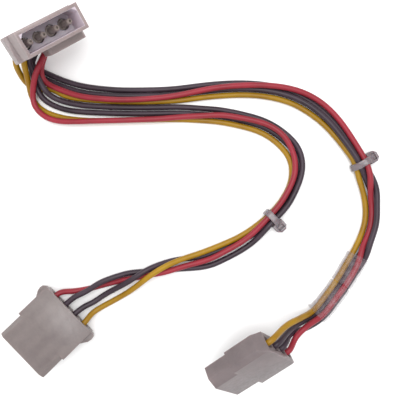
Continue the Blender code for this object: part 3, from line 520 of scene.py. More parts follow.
class WireRun:
    """Works out where the eight wires lie: through their points, then off one another.

    A tie or a turn of tape under a wire lifts it by its thickness and clearance, and by less and less
    beyond its reach, which is measured at LOW_HEIGHT. The pushes between wires are smoothed, kept short,
    and drawn back a little each time.
    """

    PAST_PIN_REAR = (0.1, 1.0)
    BEFORE_SOCKET_REAR = 1.4
    TIE_LIFT = 0.9 + 0.25
    TIE_REACH = 2.5
    TIE_SLOPE = 6
    TAPE_LIFT = 0.3 + 0.36
    TAPE_REACH = 3.5
    TAPE_SLOPE = 5
    TAPE_PLACES = 9
    LOW_HEIGHT = 2
    LEAST_GAP = 1e-6
    PUSH_SHARE = 0.22
    LONGEST_MOVE = 0.3
    DRAWN_BACK = (0.985, 0.985, 0.998)
    CALMING = 0.15

    def __init__(self, branches: list[Branch]) -> None:
        """Keeps the branches.

        Args:
            branches: Both branches, with their wires.
        """
        self.branches = branches

    def wanted(self, wire: Wire, branch: Branch) -> np.ndarray:
        """Gives a wire's centre, from inside the pin connector to inside a socket connector.

        Args:
            wire: The wire.
            branch: The branch that it is in.

        Returns:
            Points along its centre.
        """
        x, z = WAYS[wire.way], wire.side * PinConnector.pair_offset
        rear = -PinConnector.length
        start = PinConnector.well_depth - PinConnector.pin_overhang - SEATED_GAP + rear
        starts = (start, *(rear - past for past in self.PAST_PIN_REAR))
        points = [INPUT_POSE.point(x, y, z) for y in starts]
        points += [surface_point(*place) for place in wire.lead]
        points += [branch.spine.at(*place) for place in wire.stations]
        points += [surface_point(*place) for place in wire.tail]
        end = SocketConnector.rear_depth - branch.end_length - SEATED_GAP
        rear = -branch.end_length
        ends = (rear - self.BEFORE_SOCKET_REAR, rear, (rear + end) / 2, end)
        points += [branch.end_pose.point(WAYS[wire.end_way], y, 0) for y in ends]
        return smooth_curve(points, ROUTE_SPACING)

    def lowest(self, route: np.ndarray) -> np.ndarray:
        """Gives how low each point of a wire can lie: on the surface, or on a tie or tape under it.

        Args:
            route: The wire's points.

        Returns:
            The least height of each point.
        """
        lift = np.zeros(len(route))
        for branch in self.branches:
            tie = branch.spine.at(branch.tie_station, 0, self.LOW_HEIGHT)
            off_tie = np.maximum(np.linalg.norm(route[:, :2] - tie[:2], axis=1) - self.TIE_REACH, 0)
            lift = np.maximum(lift, self.TIE_LIFT * np.exp(-((off_tie / self.TIE_SLOPE) ** 2)))
            for span in branch.tape_spans:
                stations = np.linspace(*span, self.TAPE_PLACES)
                places = np.array([branch.spine.at(station, 0, self.LOW_HEIGHT) for station in stations])
                near = np.linalg.norm(route[:, None, :2] - places[None, :, :2], axis=2).min(axis=1)
                off_tape = np.maximum(near - self.TAPE_REACH, 0)
                lift = np.maximum(lift, self.TAPE_LIFT * np.exp(-((off_tape / self.TAPE_SLOPE) ** 2)))
        return WIRE_DIAMETER / 2 + SURFACE_GAP + lift

    def lay(self) -> None:
        """Moves the wires off one another, mostly up and down, and gives each branch its routes."""
        wanted = [self.wanted(wire, branch) for branch in self.branches for wire in branch.wires]
        floors = [self.lowest(route) - route[:, 2] for route in wanted]
        moved = [np.zeros_like(route) for route in wanted]
        for _ in range(SPREAD_TURNS):
            shift = self.pushes([route + move for route, move in zip(wanted, moved)])
            for i, move in enumerate(shift):
                moved[i] = self.settled(moved[i], move, floors[i])
        routes = [route + move for route, move in zip(wanted, moved)]
        for branch in self.branches:
            branch.routes = routes[: len(branch.wires)]
            routes = routes[len(branch.wires) :]

    def pushes(self, routes: list[np.ndarray]) -> list[np.ndarray]:
        """Gives how each point is pushed by the wires that are too near it.

        Args:
            routes: The wires' points as they lie now.

        Returns:
            Each wire's pushes, one a point.
        """
        shift = [np.zeros_like(route) for route in routes]
        for i, first in enumerate(routes):
            for j in range(i + 1, len(routes)):
                delta = routes[j][None, :, :] - first[:, None, :]
                gap = np.linalg.norm(delta, axis=2)
                a, b = np.nonzero(gap < WIRES_APART)
                size = np.maximum(gap[a, b], self.LEAST_GAP)[:, None]
                push = delta[a, b] / size * (WIRES_APART - size) * self.PUSH_SHARE
                push[:, :2] *= SIDEWAYS_SHARE
                np.add.at(shift[i], a, -push)
                np.add.at(shift[j], b, push)
        return shift

    def settled(self, moved: np.ndarray, move: np.ndarray, floor: np.ndarray) -> np.ndarray:
        """Adds a smoothed move to a wire, and draws it back a little towards its wanted place.

        Args:
            moved: How far each point has moved so far.
            move: Its next push.
            floor: The least height that each may move by.

        Returns:
            How far each point has moved now.
        """
        for _ in range(2):
            move[1:-1] = 0.25 * move[:-2] + 0.5 * move[1:-1] + 0.25 * move[2:]
        length = np.linalg.norm(move, axis=1)[:, None]
        move *= np.minimum(1.0, self.LONGEST_MOVE / np.maximum(length, 1e-9))
        total = moved + move
        total *= self.DRAWN_BACK
        total[:, 2] = np.maximum(total[:, 2], floor)
        calm = total.copy()
        calm[1:-1] += self.CALMING * (total[:-2] + total[2:] - 2 * total[1:-1])
        calm[:HELD_POINTS] = 0
        calm[-HELD_POINTS:] = 0
        return calm


# How far an added shape goes into the body that it joins, how far a cutter goes past the face that it cuts,
# the distance at which points of a turned shell are one, and the least angle of a sharp edge.
SUNK = 0.5
PAST = 1.0
SAME_POINT = 0.002
SHARP_ANGLE = 38


def rectangle(left: float, right: float, low: float, high: float) -> list[tuple[float, float]]:
    """Gives a rectangle's corners by its four sides."""
    return [(left, low), (right, low), (right, high), (left, high)]


def prism(outline: list[tuple[float, float]], start: float, end: float, axis: Axis) -> bmesh.types.BMesh:
    """Carries an outline along an axis.

    Args:
        outline: The outline's corners, in x and z for the Y axis or x and y for the Z axis.
        start: Where it starts along the axis.
        end: Where it ends.
        axis: The axis.

    Returns:
        The closed solid, in metres.
    """
    work = bmesh.new()
    along_y = axis is Axis.Y
    places = [(u, start, v) if along_y else (u, v, start) for u, v in outline]
    face = work.faces.new([work.verts.new(Vector(place) * MM) for place in places])
    made = bmesh.ops.extrude_face_region(work, geom=[face])
    corners = [item for item in made["geom"] if isinstance(item, bmesh.types.BMVert)]
    reach = (end - start) * MM
    bmesh.ops.translate(work, vec=(0, reach, 0) if along_y else (0, 0, reach), verts=corners)
    bmesh.ops.recalc_face_normals(work, faces=work.faces)
    return work


def rod(x: float, diameter: float, start: float, end: float, segments: int = 40) -> bmesh.types.BMesh:
    """Makes a round rod along y, in the middle of the thickness.

    Args:
        x: Its place across the ways.
        diameter: Its diameter.
        start: Where it starts along y.
        end: Where it ends.
        segments: How many sides it has.

    Returns:
        The rod, in metres.
    """
    work = bmesh.new()
    radius = diameter / 2 * MM
    bmesh.ops.create_cone(
        work, cap_ends=True, segments=segments, radius1=radius, radius2=radius, depth=(end - start) * MM
    )
    place = Matrix.Translation(Vector((x, (start + end) / 2, 0)) * MM)
    bmesh.ops.transform(work, matrix=place @ Matrix.Rotation(math.pi / 2, 4, "X"), verts=work.verts)
    return work


def turned(profile: list[tuple[float, float]], x: float, steps: int = 32) -> bmesh.types.BMesh:
    """Turns a profile about a line along y.

    Args:
        profile: The profile's points as (radius, y).
        x: The line's place across the ways.
        steps: How many steps a full turn has.

    Returns:
        The turned shell, in metres.
    """
    work = bmesh.new()
    corners = [work.verts.new(Vector((radius, y, 0)) * MM) for radius, y in profile]
    edges = [work.edges.new(pair) for pair in zip(corners, corners[1:])]
    bmesh.ops.spin(
        work,
        geom=corners + edges,
        cent=(0, 0, 0),
        axis=(0, 1, 0),
        angle=math.tau,
        steps=steps,
        use_merge=True,
    )
    bmesh.ops.remove_doubles(work, verts=work.verts, dist=SAME_POINT * MM)
    bmesh.ops.recalc_face_normals(work, faces=work.faces)
    bmesh.ops.translate(work, vec=(x * MM, 0, 0), verts=work.verts)
    return work


def keyed_outline(width: float, thickness: float, cut: float, side: int) -> list[tuple[float, float]]:
    """Gives a rectangle with its two corners on one side cut off at 45 degrees.

    Args:
        width: Its width.
        thickness: Its thickness.
        cut: How far the corners are cut.
        side: 1 to cut the upper corners, -1 to cut the lower ones.

    Returns:
        The corners.
    """
    x, z = width / 2, thickness / 2
    corners = [(-x, -z), (x, -z), (x, z - cut), (x - cut, z), (cut - x, z), (-x, z - cut)]
    return [(u, v * side) for u, v in corners]


def corner_outline(x: float, z: float, cut: float) -> list[tuple[float, float]]:
    """Gives a triangle that takes a 45 degree corner off a section.

    Args:
        x: The corner's place across the ways.
        z: Its place through the thickness.
        cut: The size of the corner.

    Returns:
        The triangle's corners.
    """
    out_x, out_z = math.copysign(SUNK, x), math.copysign(SUNK, z)
    in_x, in_z = math.copysign(cut, x), math.copysign(cut, z)
    return [(x + out_x, z + out_z), (x - in_x - out_x, z + out_z), (x + out_x, z - in_z - out_z)]


def long_hole_outline(x: float, width: float, height: float, steps: int = 12) -> list[tuple[float, float]]:
    """Gives a hole with round ends that is higher than it is wide.

    Args:
        x: Its middle across the ways.
        width: Its width.
        height: Its height.
        steps: How many steps each round end has.

    Returns:
        The points round it.
    """
    radius = width / 2
    outline = []
    for end in (1, -1):
        for k in range(steps + 1):
            angle = math.pi * (k / steps + (end < 0))
            z = end * (height / 2 - radius) + radius * math.sin(angle)
            outline.append((x + radius * math.cos(angle), z))
    return outline


class Piece:
    """One piece of the cable in the making: its mesh, its rounding, its place and its finish."""

    def __init__(self, name: str, work: bmesh.types.BMesh) -> None:
        """Makes the piece's object.

        Args:
            name: The piece's name.
            work: Its first shape, which is freed.
        """
        self.helpers: list[bpy.types.Object] = []
        self.obj = self.as_object(name, work)

    @staticmethod
    def as_object(name: str, work: bmesh.types.BMesh) -> bpy.types.Object:
        """Makes an object of a bmesh and frees the bmesh.

        Args:
            name: The object's name.
            work: The shape, which is freed.

        Returns:
            The object, in the scene.
        """
        mesh = bpy.data.meshes.new(name)
        work.to_mesh(mesh)
        work.free()
        obj = bpy.data.objects.new(name, mesh)
        bpy.context.scene.collection.objects.link(obj)
        return obj

    def join(self, work: bmesh.types.BMesh, joining: Joining) -> None:
        """Adds a helper shape to the piece, or cuts it away.

        Args:
            work: The helper shape, which is freed.
            joining: Whether it is added or cut.
        """
        helper = self.as_object(f"{self.obj.name}_helper_{len(self.helpers)}", work)
        self.helpers.append(helper)
        modifier = self.obj.modifiers.new(helper.name, "BOOLEAN")
        modifier.operation = joining.value
        modifier.solver = "EXACT"
        modifier.object = helper

    def soften(self, width: float, angle: float = 32.0, segments: int = 2) -> None:
        """Rounds the piece's edges.

        Args:
            width: The width of the rounding.
            angle: The least angle in degrees between two faces whose edge is rounded.
            segments: How many steps the rounding has.
        """
        modifier = self.obj.modifiers.new("rounding", "BEVEL")
        modifier.limit_method = "ANGLE"
        modifier.angle_limit = math.radians(angle)
        modifier.width = width * MM
        modifier.segments = segments
        modifier.use_clamp_overlap = True
        modifier.miter_outer = "MITER_ARC"

    def done(self, place: Matrix, material: bpy.types.Material, slot: str, *nodes: str) -> bpy.types.Object:
        """Applies the modifiers and the place, gives the finish, and fits the piece to the frame.

        Args:
            place: The matrix that places the mesh.
            material: The finish.
            slot: Passed on to fit, which does not use it.
            nodes: The CAD nodes that the piece stands for.

        Returns:
            The finished object.
        """
        bpy.context.view_layer.update()
        graph = bpy.context.evaluated_depsgraph_get()
        mesh = bpy.data.meshes.new_from_object(self.obj.evaluated_get(graph))
        self.obj.modifiers.clear()
        for helper in self.helpers:
            bpy.data.objects.remove(helper)
        mesh.transform(place)
        mesh.materials.clear()
        mesh.materials.append(material)
        mesh.shade_smooth()
        mesh.set_sharp_from_angle(angle=math.radians(SHARP_ANGLE))
        mesh.name = self.obj.name
        self.obj.data = mesh
        fit(self.obj, slot, *nodes)
        return self.obj


def fit(obj: bpy.types.Object, slot: str, *nodes: str) -> None:
    """Fits a finished object to the frame.

    Args:
        obj: The object, in its place.
        slot: Not used.
        nodes: The CAD nodes that it stands for.
    """
    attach(obj, "root")
    if nodes:
        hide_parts(*nodes)
    log.info("%s: stands for %s", obj.name, ", ".join(nodes) or "no node of its own")


class Nodes:
    """Builds a material's nodes, a few at a time."""

    NOISE_MIDDLE = (0.3, 0.7)

    def __init__(self, name: str) -> None:
        """Starts a material with its shader and its Object coordinates.

        Args:
            name: The material's name.
        """
        self.material = bpy.data.materials.new(name)
        self.material.use_nodes = True
        self.tree = self.material.node_tree
        self.shader = self.tree.nodes["Principled BSDF"]
        self.place = self.tree.nodes.new("ShaderNodeTexCoord").outputs["Object"]

    def set(self, **values: float | tuple) -> None:
        """Sets constants on the shader's own sockets, by name with _ for a space."""
        for name, value in values.items():
            self.shader.inputs[name.replace("_", " ")].default_value = value

    def link(self, output: bpy.types.NodeSocket, socket: bpy.types.NodeSocket) -> None:
        """Links two sockets."""
        self.tree.links.new(output, socket)

    def feed(self, **outputs: bpy.types.NodeSocket) -> None:
        """Links outputs to the shader's own sockets, by name with _ for a space."""
        for name, output in outputs.items():
            self.link(output, self.shader.inputs[name.replace("_", " ")])

    def mapping(self, pose: Pose | None = None, stretch: Triple = (1, 1, 1)) -> bpy.types.NodeSocket:
        """Gives coordinates that are turned to a connector, in metres.

        Args:
            pose: The connector's pose, or None for the frame's own axes.
            stretch: What the coordinates are divided by.

        Returns:
            The mapped coordinates.
        """
        node = self.tree.nodes.new("ShaderNodeMapping")
        node.vector_type = "TEXTURE"
        if pose:
            matrix = pose.in_metres()
            node.inputs["Location"].default_value = matrix.translation
            node.inputs["Rotation"].default_value = matrix.to_euler("XYZ")
        node.inputs["Scale"].default_value = stretch
        self.link(self.place, node.inputs["Vector"])
        return node.outputs["Vector"]

    def noise(self, vector: bpy.types.NodeSocket, size: float, detail: float = 3.0) -> bpy.types.NodeSocket:
        """Gives a noise whose features are about so many millimetres across.

        Args:
            vector: The coordinates.
            size: The size of its features.
            detail: How many finer layers it has.

        Returns:
            The noise from 0 to 1.
        """
        node = self.tree.nodes.new("ShaderNodeTexNoise")
        node.inputs["Scale"].default_value = 1.0 / (size * MM)
        node.inputs["Detail"].default_value = detail
        self.link(vector, node.inputs["Vector"])
        return node.outputs["Fac"]

    def math(self, operation: str, *values: bpy.types.NodeSocket | float) -> bpy.types.NodeSocket:
        """Gives a sum, product or other function of sockets and numbers.

        Args:
            operation: The Math node's operation.
            values: Its inputs.

        Returns:
            The result.
        """
        node = self.tree.nodes.new("ShaderNodeMath")
        node.operation = operation
        for socket, value in zip(node.inputs, values):
            if isinstance(value, bpy.types.NodeSocket):
                self.link(value, socket)
            else:
                socket.default_value = value
        return node.outputs[0]

    def ramp(self, factor: bpy.types.NodeSocket, stops: list[tuple[float, tuple]]) -> bpy.types.NodeSocket:
        """Gives a colour by a factor.

        Args:
            factor: The factor.
            stops: The ramp's stops as (place, colour).

        Returns:
            The colour.
        """
        node = self.tree.nodes.new("ShaderNodeValToRGB")
        elements = node.color_ramp.elements
        while len(elements) < len(stops):
            elements.new(1.0)
        for element, (place, colour) in zip(elements, stops):
            element.position = place
            element.color = (*colour, 1.0)
        self.link(factor, node.inputs["Fac"])
        return node.outputs["Color"]

    def mixed(
        self, factor: bpy.types.NodeSocket, first: bpy.types.NodeSocket, second: Colour
    ) -> bpy.types.NodeSocket:
        """Mixes a colour with a plain one.

        Args:
            factor: 0 for the first colour and 1 for the second.
            first: The first colour.
            second: The second colour.

        Returns:
            The mixed colour.
        """
        node = self.tree.nodes.new("ShaderNodeMix")
        node.data_type = "RGBA"
        colours = [socket for socket in node.inputs if socket.type == "RGBA"]
        colours[1].default_value = (*second, 1.0)
        self.link(factor, node.inputs["Factor"])
        self.link(first, colours[0])
        return next(socket for socket in node.outputs if socket.type == "RGBA")

    def ranged(self, factor: bpy.types.NodeSocket, low: float, high: float) -> bpy.types.NodeSocket:
        """Maps the middle range of a noise to another range.

        Args:
            factor: The noise.
            low: What the lower end of its middle range becomes.
            high: What the upper end becomes.

        Returns:
            The mapped value.
        """
        node = self.tree.nodes.new("ShaderNodeMapRange")
        node.inputs["From Min"].default_value = self.NOISE_MIDDLE[0]
        node.inputs["From Max"].default_value = self.NOISE_MIDDLE[1]
        node.inputs["To Min"].default_value = low
        node.inputs["To Max"].default_value = high
        self.link(factor, node.inputs["Value"])
        return node.outputs["Result"]

    def bump(self, height: bpy.types.NodeSocket, depth: float, strength: float = 1.0) -> None:
        """Roughens the surface.

        Args:
            height: The height from 0 to 1.
            depth: What a height of 1 is, in millimetres.
            strength: How strong it is.
        """
        node = self.tree.nodes.new("ShaderNodeBump")
        node.inputs["Distance"].default_value = depth * MM
        node.inputs["Strength"].default_value = strength
        self.link(height, node.inputs["Height"])
        self.feed(Normal=node.outputs["Normal"])


@dataclass(frozen=True)
class MouldedNylon:
    """Natural nylon: cloudy and a little see-through, with painted shade in soft darker bands where the
    bores inside would show, and painted light inside a mouth.
    """

    name: str
    pose: Pose
    light: Colour
    dark: Colour
    # Where the bands of painted shade run along the connector, and how dark they are.
    band_start: float
    band_end: float
    bore_shade_depth: float
    # The mouth's half sizes, and the lighter colour painted inside it: painted light that stands in for
    # light coming through the thin walls.
    inside: tuple[float, float] = (0.0, 0.0)
    painted_inner_light: Colour = (0.5, 0.44, 0.49)
    roughness: tuple[float, float] = (0.34, 0.5)
    band_fade: float = 1.6

    def material(self) -> bpy.types.Material:
        """Builds the finish.

        Returns:
            The material.
        """
        nodes = Nodes(self.name)
        local = nodes.mapping(self.pose)
        cloud = nodes.noise(local, 7.0, 4.0)
        fine = nodes.noise(local, 1.1, 3.0)
        axes = nodes.tree.nodes.new("ShaderNodeSeparateXYZ")
        nodes.link(local, axes.inputs["Vector"])
        # Painted shade: soft darker bands along the ways, standing in for the shaded bores seen through the
        # nylon.
        phase = nodes.math("MULTIPLY", axes.outputs["X"], math.tau / (WAY_PITCH * MM))
        wave = nodes.math("COSINE", nodes.math("ADD", phase, math.pi))
        band = nodes.math("MULTIPLY_ADD", wave, 0.5, 0.5)
        reach = self.bore_shade_window(nodes, axes.outputs["Y"])
        band = nodes.math("MULTIPLY", nodes.math("MULTIPLY", band, reach), self.bore_shade_depth)
        mottle = nodes.math("MULTIPLY_ADD", cloud, 0.75, nodes.math("MULTIPLY", fine, 0.25))
        tone = nodes.math("SUBTRACT", mottle, band)
        colour = nodes.ramp(tone, [(0.12, self.dark), (0.62, self.light)])
        # Painted light: inside the mouth the colour is mixed toward a lighter one, for the light that the
        # thin walls let through.
        if self.inside[0]:
            colour = nodes.mixed(self.within(nodes, axes), colour, self.painted_inner_light)
        nodes.feed(Base_Color=colour, Roughness=nodes.ranged(fine, *self.roughness))
        nodes.set(IOR=1.53, Subsurface_Weight=0.55, Subsurface_Scale=0.0028)
        nodes.set(Subsurface_Radius=(1.0, 0.82, 0.8))
        height = nodes.math("ADD", nodes.math("MULTIPLY", cloud, 0.6), nodes.math("MULTIPLY", fine, 0.4))
        nodes.bump(height, 0.12, 0.5)
        return nodes.material

    def within(self, nodes: Nodes, axes: bpy.types.Node) -> bpy.types.NodeSocket:
        """Finds what is inside the mouth, where a lighter colour is painted as the light that would come
        through its thin walls.

        Args:
            nodes: The material's nodes.
            axes: The node that gives the place along each axis of the connector.

        Returns:
            1 inside the mouth and 0 outside it.
        """
        steps = []
        for axis, half in zip(("X", "Z"), self.inside):
            off = nodes.math("ABSOLUTE", axes.outputs[axis])
            steps.append(nodes.math("LESS_THAN", off, half * MM))
        return nodes.math("MULTIPLY", *steps)

    def bore_shade_window(self, nodes: Nodes, y: bpy.types.NodeSocket) -> bpy.types.NodeSocket:
        """Finds where the bores are, which is where the darker bands of painted shade go.

        Args:
            nodes: The material's nodes.
            y: The place along the connector.

        Returns:
            1 where the bores are, fading to 0 outside them.
        """
        steps = []
        for place, sign in ((self.band_start, 1.0), (self.band_end, -1.0)):
            node = nodes.tree.nodes.new("ShaderNodeMapRange")
            node.interpolation_type = "SMOOTHSTEP"
            node.inputs["From Min"].default_value = (place - self.band_fade * sign) * MM
            node.inputs["From Max"].default_value = (place + self.band_fade * sign) * MM
            nodes.link(y, node.inputs["Value"])
            steps.append(node.outputs["Result"])
        return nodes.math("MULTIPLY", *steps)


@dataclass(frozen=True)
class WirePvc:
    """Soft PVC insulation, slightly uneven in colour and gloss from handling."""

    name: str
    light: Colour
    dark: Colour
    roughness: tuple[float, float]

    def material(self) -> bpy.types.Material:
        """Builds the finish.

        Returns:
            The material.
        """
        nodes = Nodes(self.name)
        place = nodes.mapping()
        patches = nodes.noise(place, 9.0, 3.0)
        grain = nodes.noise(place, 0.5, 2.0)
        tone = nodes.math("MULTIPLY_ADD", patches, 0.8, nodes.math("MULTIPLY", grain, 0.2))
        colour = nodes.ramp(tone, [(0.3, self.dark), (0.7, self.light)])
        nodes.feed(Base_Color=colour, Roughness=nodes.ranged(patches, *self.roughness))
        nodes.set(IOR=1.52, Specular_IOR_Level=0.3)
        nodes.bump(nodes.math("ADD", patches, nodes.math("MULTIPLY", grain, 0.3)), 0.05, 0.4)
        return nodes.material


@dataclass(frozen=True)
class TinnedBrass:
    """Rolled contacts with dull tin over brass, darker where they have rubbed."""

    name: str

    def material(self) -> bpy.types.Material:
        """Builds the finish.

        Returns:
            The material.
        """
        nodes = Nodes(self.name)
        place = nodes.mapping()
        stain = nodes.noise(place, 1.4, 5.0)
        scratch = nodes.noise(nodes.mapping(None, (1.0, 0.25, 1.0)), 0.3, 2.0)
        colour = nodes.ramp(stain, [(0.3, (0.22, 0.18, 0.16)), (0.68, (0.36, 0.31, 0.28))])
        nodes.feed(Base_Color=colour, Roughness=nodes.ranged(scratch, 0.32, 0.55))
        nodes.set(Metallic=0.35)
        nodes.bump(scratch, 0.03, 0.5)
        return nodes.material


@dataclass(frozen=True)
class TieNylon:
    """A tie's natural nylon: milky, glossy and half see-through."""

    name: str

    def material(self) -> bpy.types.Material:
        """Builds the finish.

        Returns:
            The material.
        """
        nodes = Nodes(self.name)
        place = nodes.mapping()
        cloud = nodes.noise(place, 2.6, 3.0)
        colour = nodes.ramp(cloud, [(0.3, (0.15, 0.115, 0.13)), (0.7, (0.22, 0.18, 0.195))])
        nodes.feed(Base_Color=colour, Roughness=nodes.ranged(cloud, 0.2, 0.36))
        nodes.set(IOR=1.53, Alpha=0.82, Subsurface_Weight=0.15, Subsurface_Scale=0.0006)
        nodes.bump(cloud, 0.06, 0.4)
        return nodes.material


@dataclass(frozen=True)
class ClearFilm:
    """Clear tape: thin, glossy and creased, and here and there a little whiter."""

    name: str

    def material(self) -> bpy.types.Material:
        """Builds the finish.

        Returns:
            The material.
        """
        nodes = Nodes(self.name)
        place = nodes.mapping()
        crease = nodes.noise(place, 3.2, 4.0)
        fine = nodes.noise(place, 0.8, 3.0)
        mix = nodes.math("MULTIPLY_ADD", crease, 0.65, nodes.math("MULTIPLY", fine, 0.35))
        colour = nodes.ramp(mix, [(0.35, (0.26, 0.2, 0.225)), (0.65, (0.46, 0.39, 0.425))])
        nodes.feed(Base_Color=colour, Alpha=nodes.ranged(mix, 0.04, 0.15))
        nodes.feed(Roughness=nodes.ranged(fine, 0.1, 0.24))
        nodes.set(IOR=1.49, Coat_Weight=0.1, Coat_Roughness=0.08)
        nodes.bump(mix, 0.25, 0.7)
        return nodes.material


@dataclass
class PinConnector:
    """The pin connector: a hood round four pins, on a wider block that the wires enter.

    Its y axis points out of the hood and is 0 at the rim.
    """

    hood_width: float = 23.4
    hood_thickness: float = 8.6
    hood_wall: float = 1.15
    hood_depth: float = 11.5
    hood_key_cut: float = 1.3
    length: float = 19.0
    block_width: float = 26.0
    block_thickness: float = 9.4
    block_length: float = 7.0
    ledge_start: float = -2.2
    ledge_end: float = 12.2
    ledge_height: float = 2.7
    ledge_length: float = 10.4
    ledge_corner: float = 0.9
    hole_diameter: float = 4.1
    pin_diameter: float = 2.1
    pin_setback: float = 3.0
    collar_diameter: float = 3.7
    well_width: float = 4.2
    well_height: float = 5.5
    well_depth: float = 5.8
    pair_offset: float = 1.2
    pin_overhang: float = 0.9
    ledge_sink: float = 0.4
    # How far past the inner walls the painted light inside the mouth reaches.
    painted_light_margin: float = 0.05
    rounding: float = 0.28

    def build(self) -> None:
        """Builds the housing and the four pins."""
        mouth = (self.hood_width, self.hood_thickness)
        nylon = MouldedNylon(
            "hood_nylon",
            INPUT_POSE,
            light=(0.26, 0.21, 0.207),
            dark=(0.18, 0.142, 0.145),
            band_start=-19.0,
            band_end=-11.0,
            bore_shade_depth=0.1,
            inside=tuple(size / 2 - self.hood_wall + self.painted_light_margin for size in mouth),
        )
        self.housing(nylon.material())
        brass = TinnedBrass("pin_brass").material()
        for number, way in enumerate(WAYS, 1):
            pin = Piece(f"rolled_pin_{number}", self.pin(way))
            pin.done(INPUT_POSE.in_metres(), brass, "contact", f"input_pin_{number}")

    def housing(self, nylon: bpy.types.Material) -> None:
        """Builds the housing from its block, hood and ledge, and cuts its openings.

        Args:
            nylon: The finish.
        """
        x, z = self.block_width / 2, self.block_thickness / 2
        front = self.block_length - self.length
        body = Piece("hood_housing", prism(rectangle(-x, x, -z, z), -self.length, front, Axis.Y))
        x, z = self.hood_width / 2, self.hood_thickness / 2
        body.join(prism(rectangle(-x, x, -z, z), front - SUNK, 0.0, Axis.Y), Joining.ADD)
        body.join(self.ledge(), Joining.ADD)
        mouth = keyed_outline(
            self.hood_width - 2 * self.hood_wall,
            self.hood_thickness - 2 * self.hood_wall,
            self.hood_key_cut,
            -1,
        )
        body.join(prism(mouth, -self.hood_depth, PAST, Axis.Y), Joining.CUT)
        well_end = self.well_depth - self.length
        for way in WAYS:
            hole = rod(way, self.hole_diameter, well_end - SUNK, SUNK - self.hood_depth)
            body.join(hole, Joining.CUT)
            well = long_hole_outline(way, self.well_width, self.well_height)
            body.join(prism(well, -self.length - PAST, well_end, Axis.Y), Joining.CUT)
        body.soften(self.rounding)
        body.done(INPUT_POSE.in_metres(), nylon, "nylon", "input_housing")

    def ledge(self) -> bmesh.types.BMesh:
        """Makes the raised ledge on the block's upper side.

        Returns:
            The ledge, in metres.
        """
        rear, top = -self.length, self.ledge_length - self.length
        cut = self.ledge_corner
        outline = [
            (self.ledge_start, rear),
            (self.ledge_end, rear),
            (self.ledge_end, top - cut),
            (self.ledge_end - cut, top),
            (self.ledge_start + cut, top),
            (self.ledge_start, top - cut),
        ]
        side = self.hood_thickness / 2
        return prism(outline, side - self.ledge_sink, side + self.ledge_height, Axis.Z)

    def pin(self, way: float) -> bmesh.types.BMesh:
        """Turns a pin with a round nose that is open at its tip.

        Args:
            way: The pin's place across the ways.

        Returns:
            The pin, in metres.
        """
        pin, collar, tip = self.pin_diameter / 2, self.collar_diameter / 2, -self.pin_setback
        well_end = self.well_depth - self.length
        profile = [
            (0, tip - 1.4),
            (0.36 * pin, tip - 1.4),
            (0.4 * pin, tip - 0.1),
            (0.52 * pin, tip),
            (0.72 * pin, tip - 0.16),
            (0.9 * pin, tip - 0.48),
            (pin, tip - 1.0),
            (pin, well_end + 3.2),
            (1.12 * pin, well_end + 2.9),
            (1.12 * pin, well_end + 2.4),
            (pin, well_end + 2.1),
            (pin, well_end + 0.6),
            (collar - 0.15, well_end + 0.6),
            (collar, well_end + 0.45),
            (collar, well_end - 0.75),
            (collar - 0.15, well_end - self.pin_overhang),
            (0, well_end - self.pin_overhang),
        ]
        return turned(profile, way)


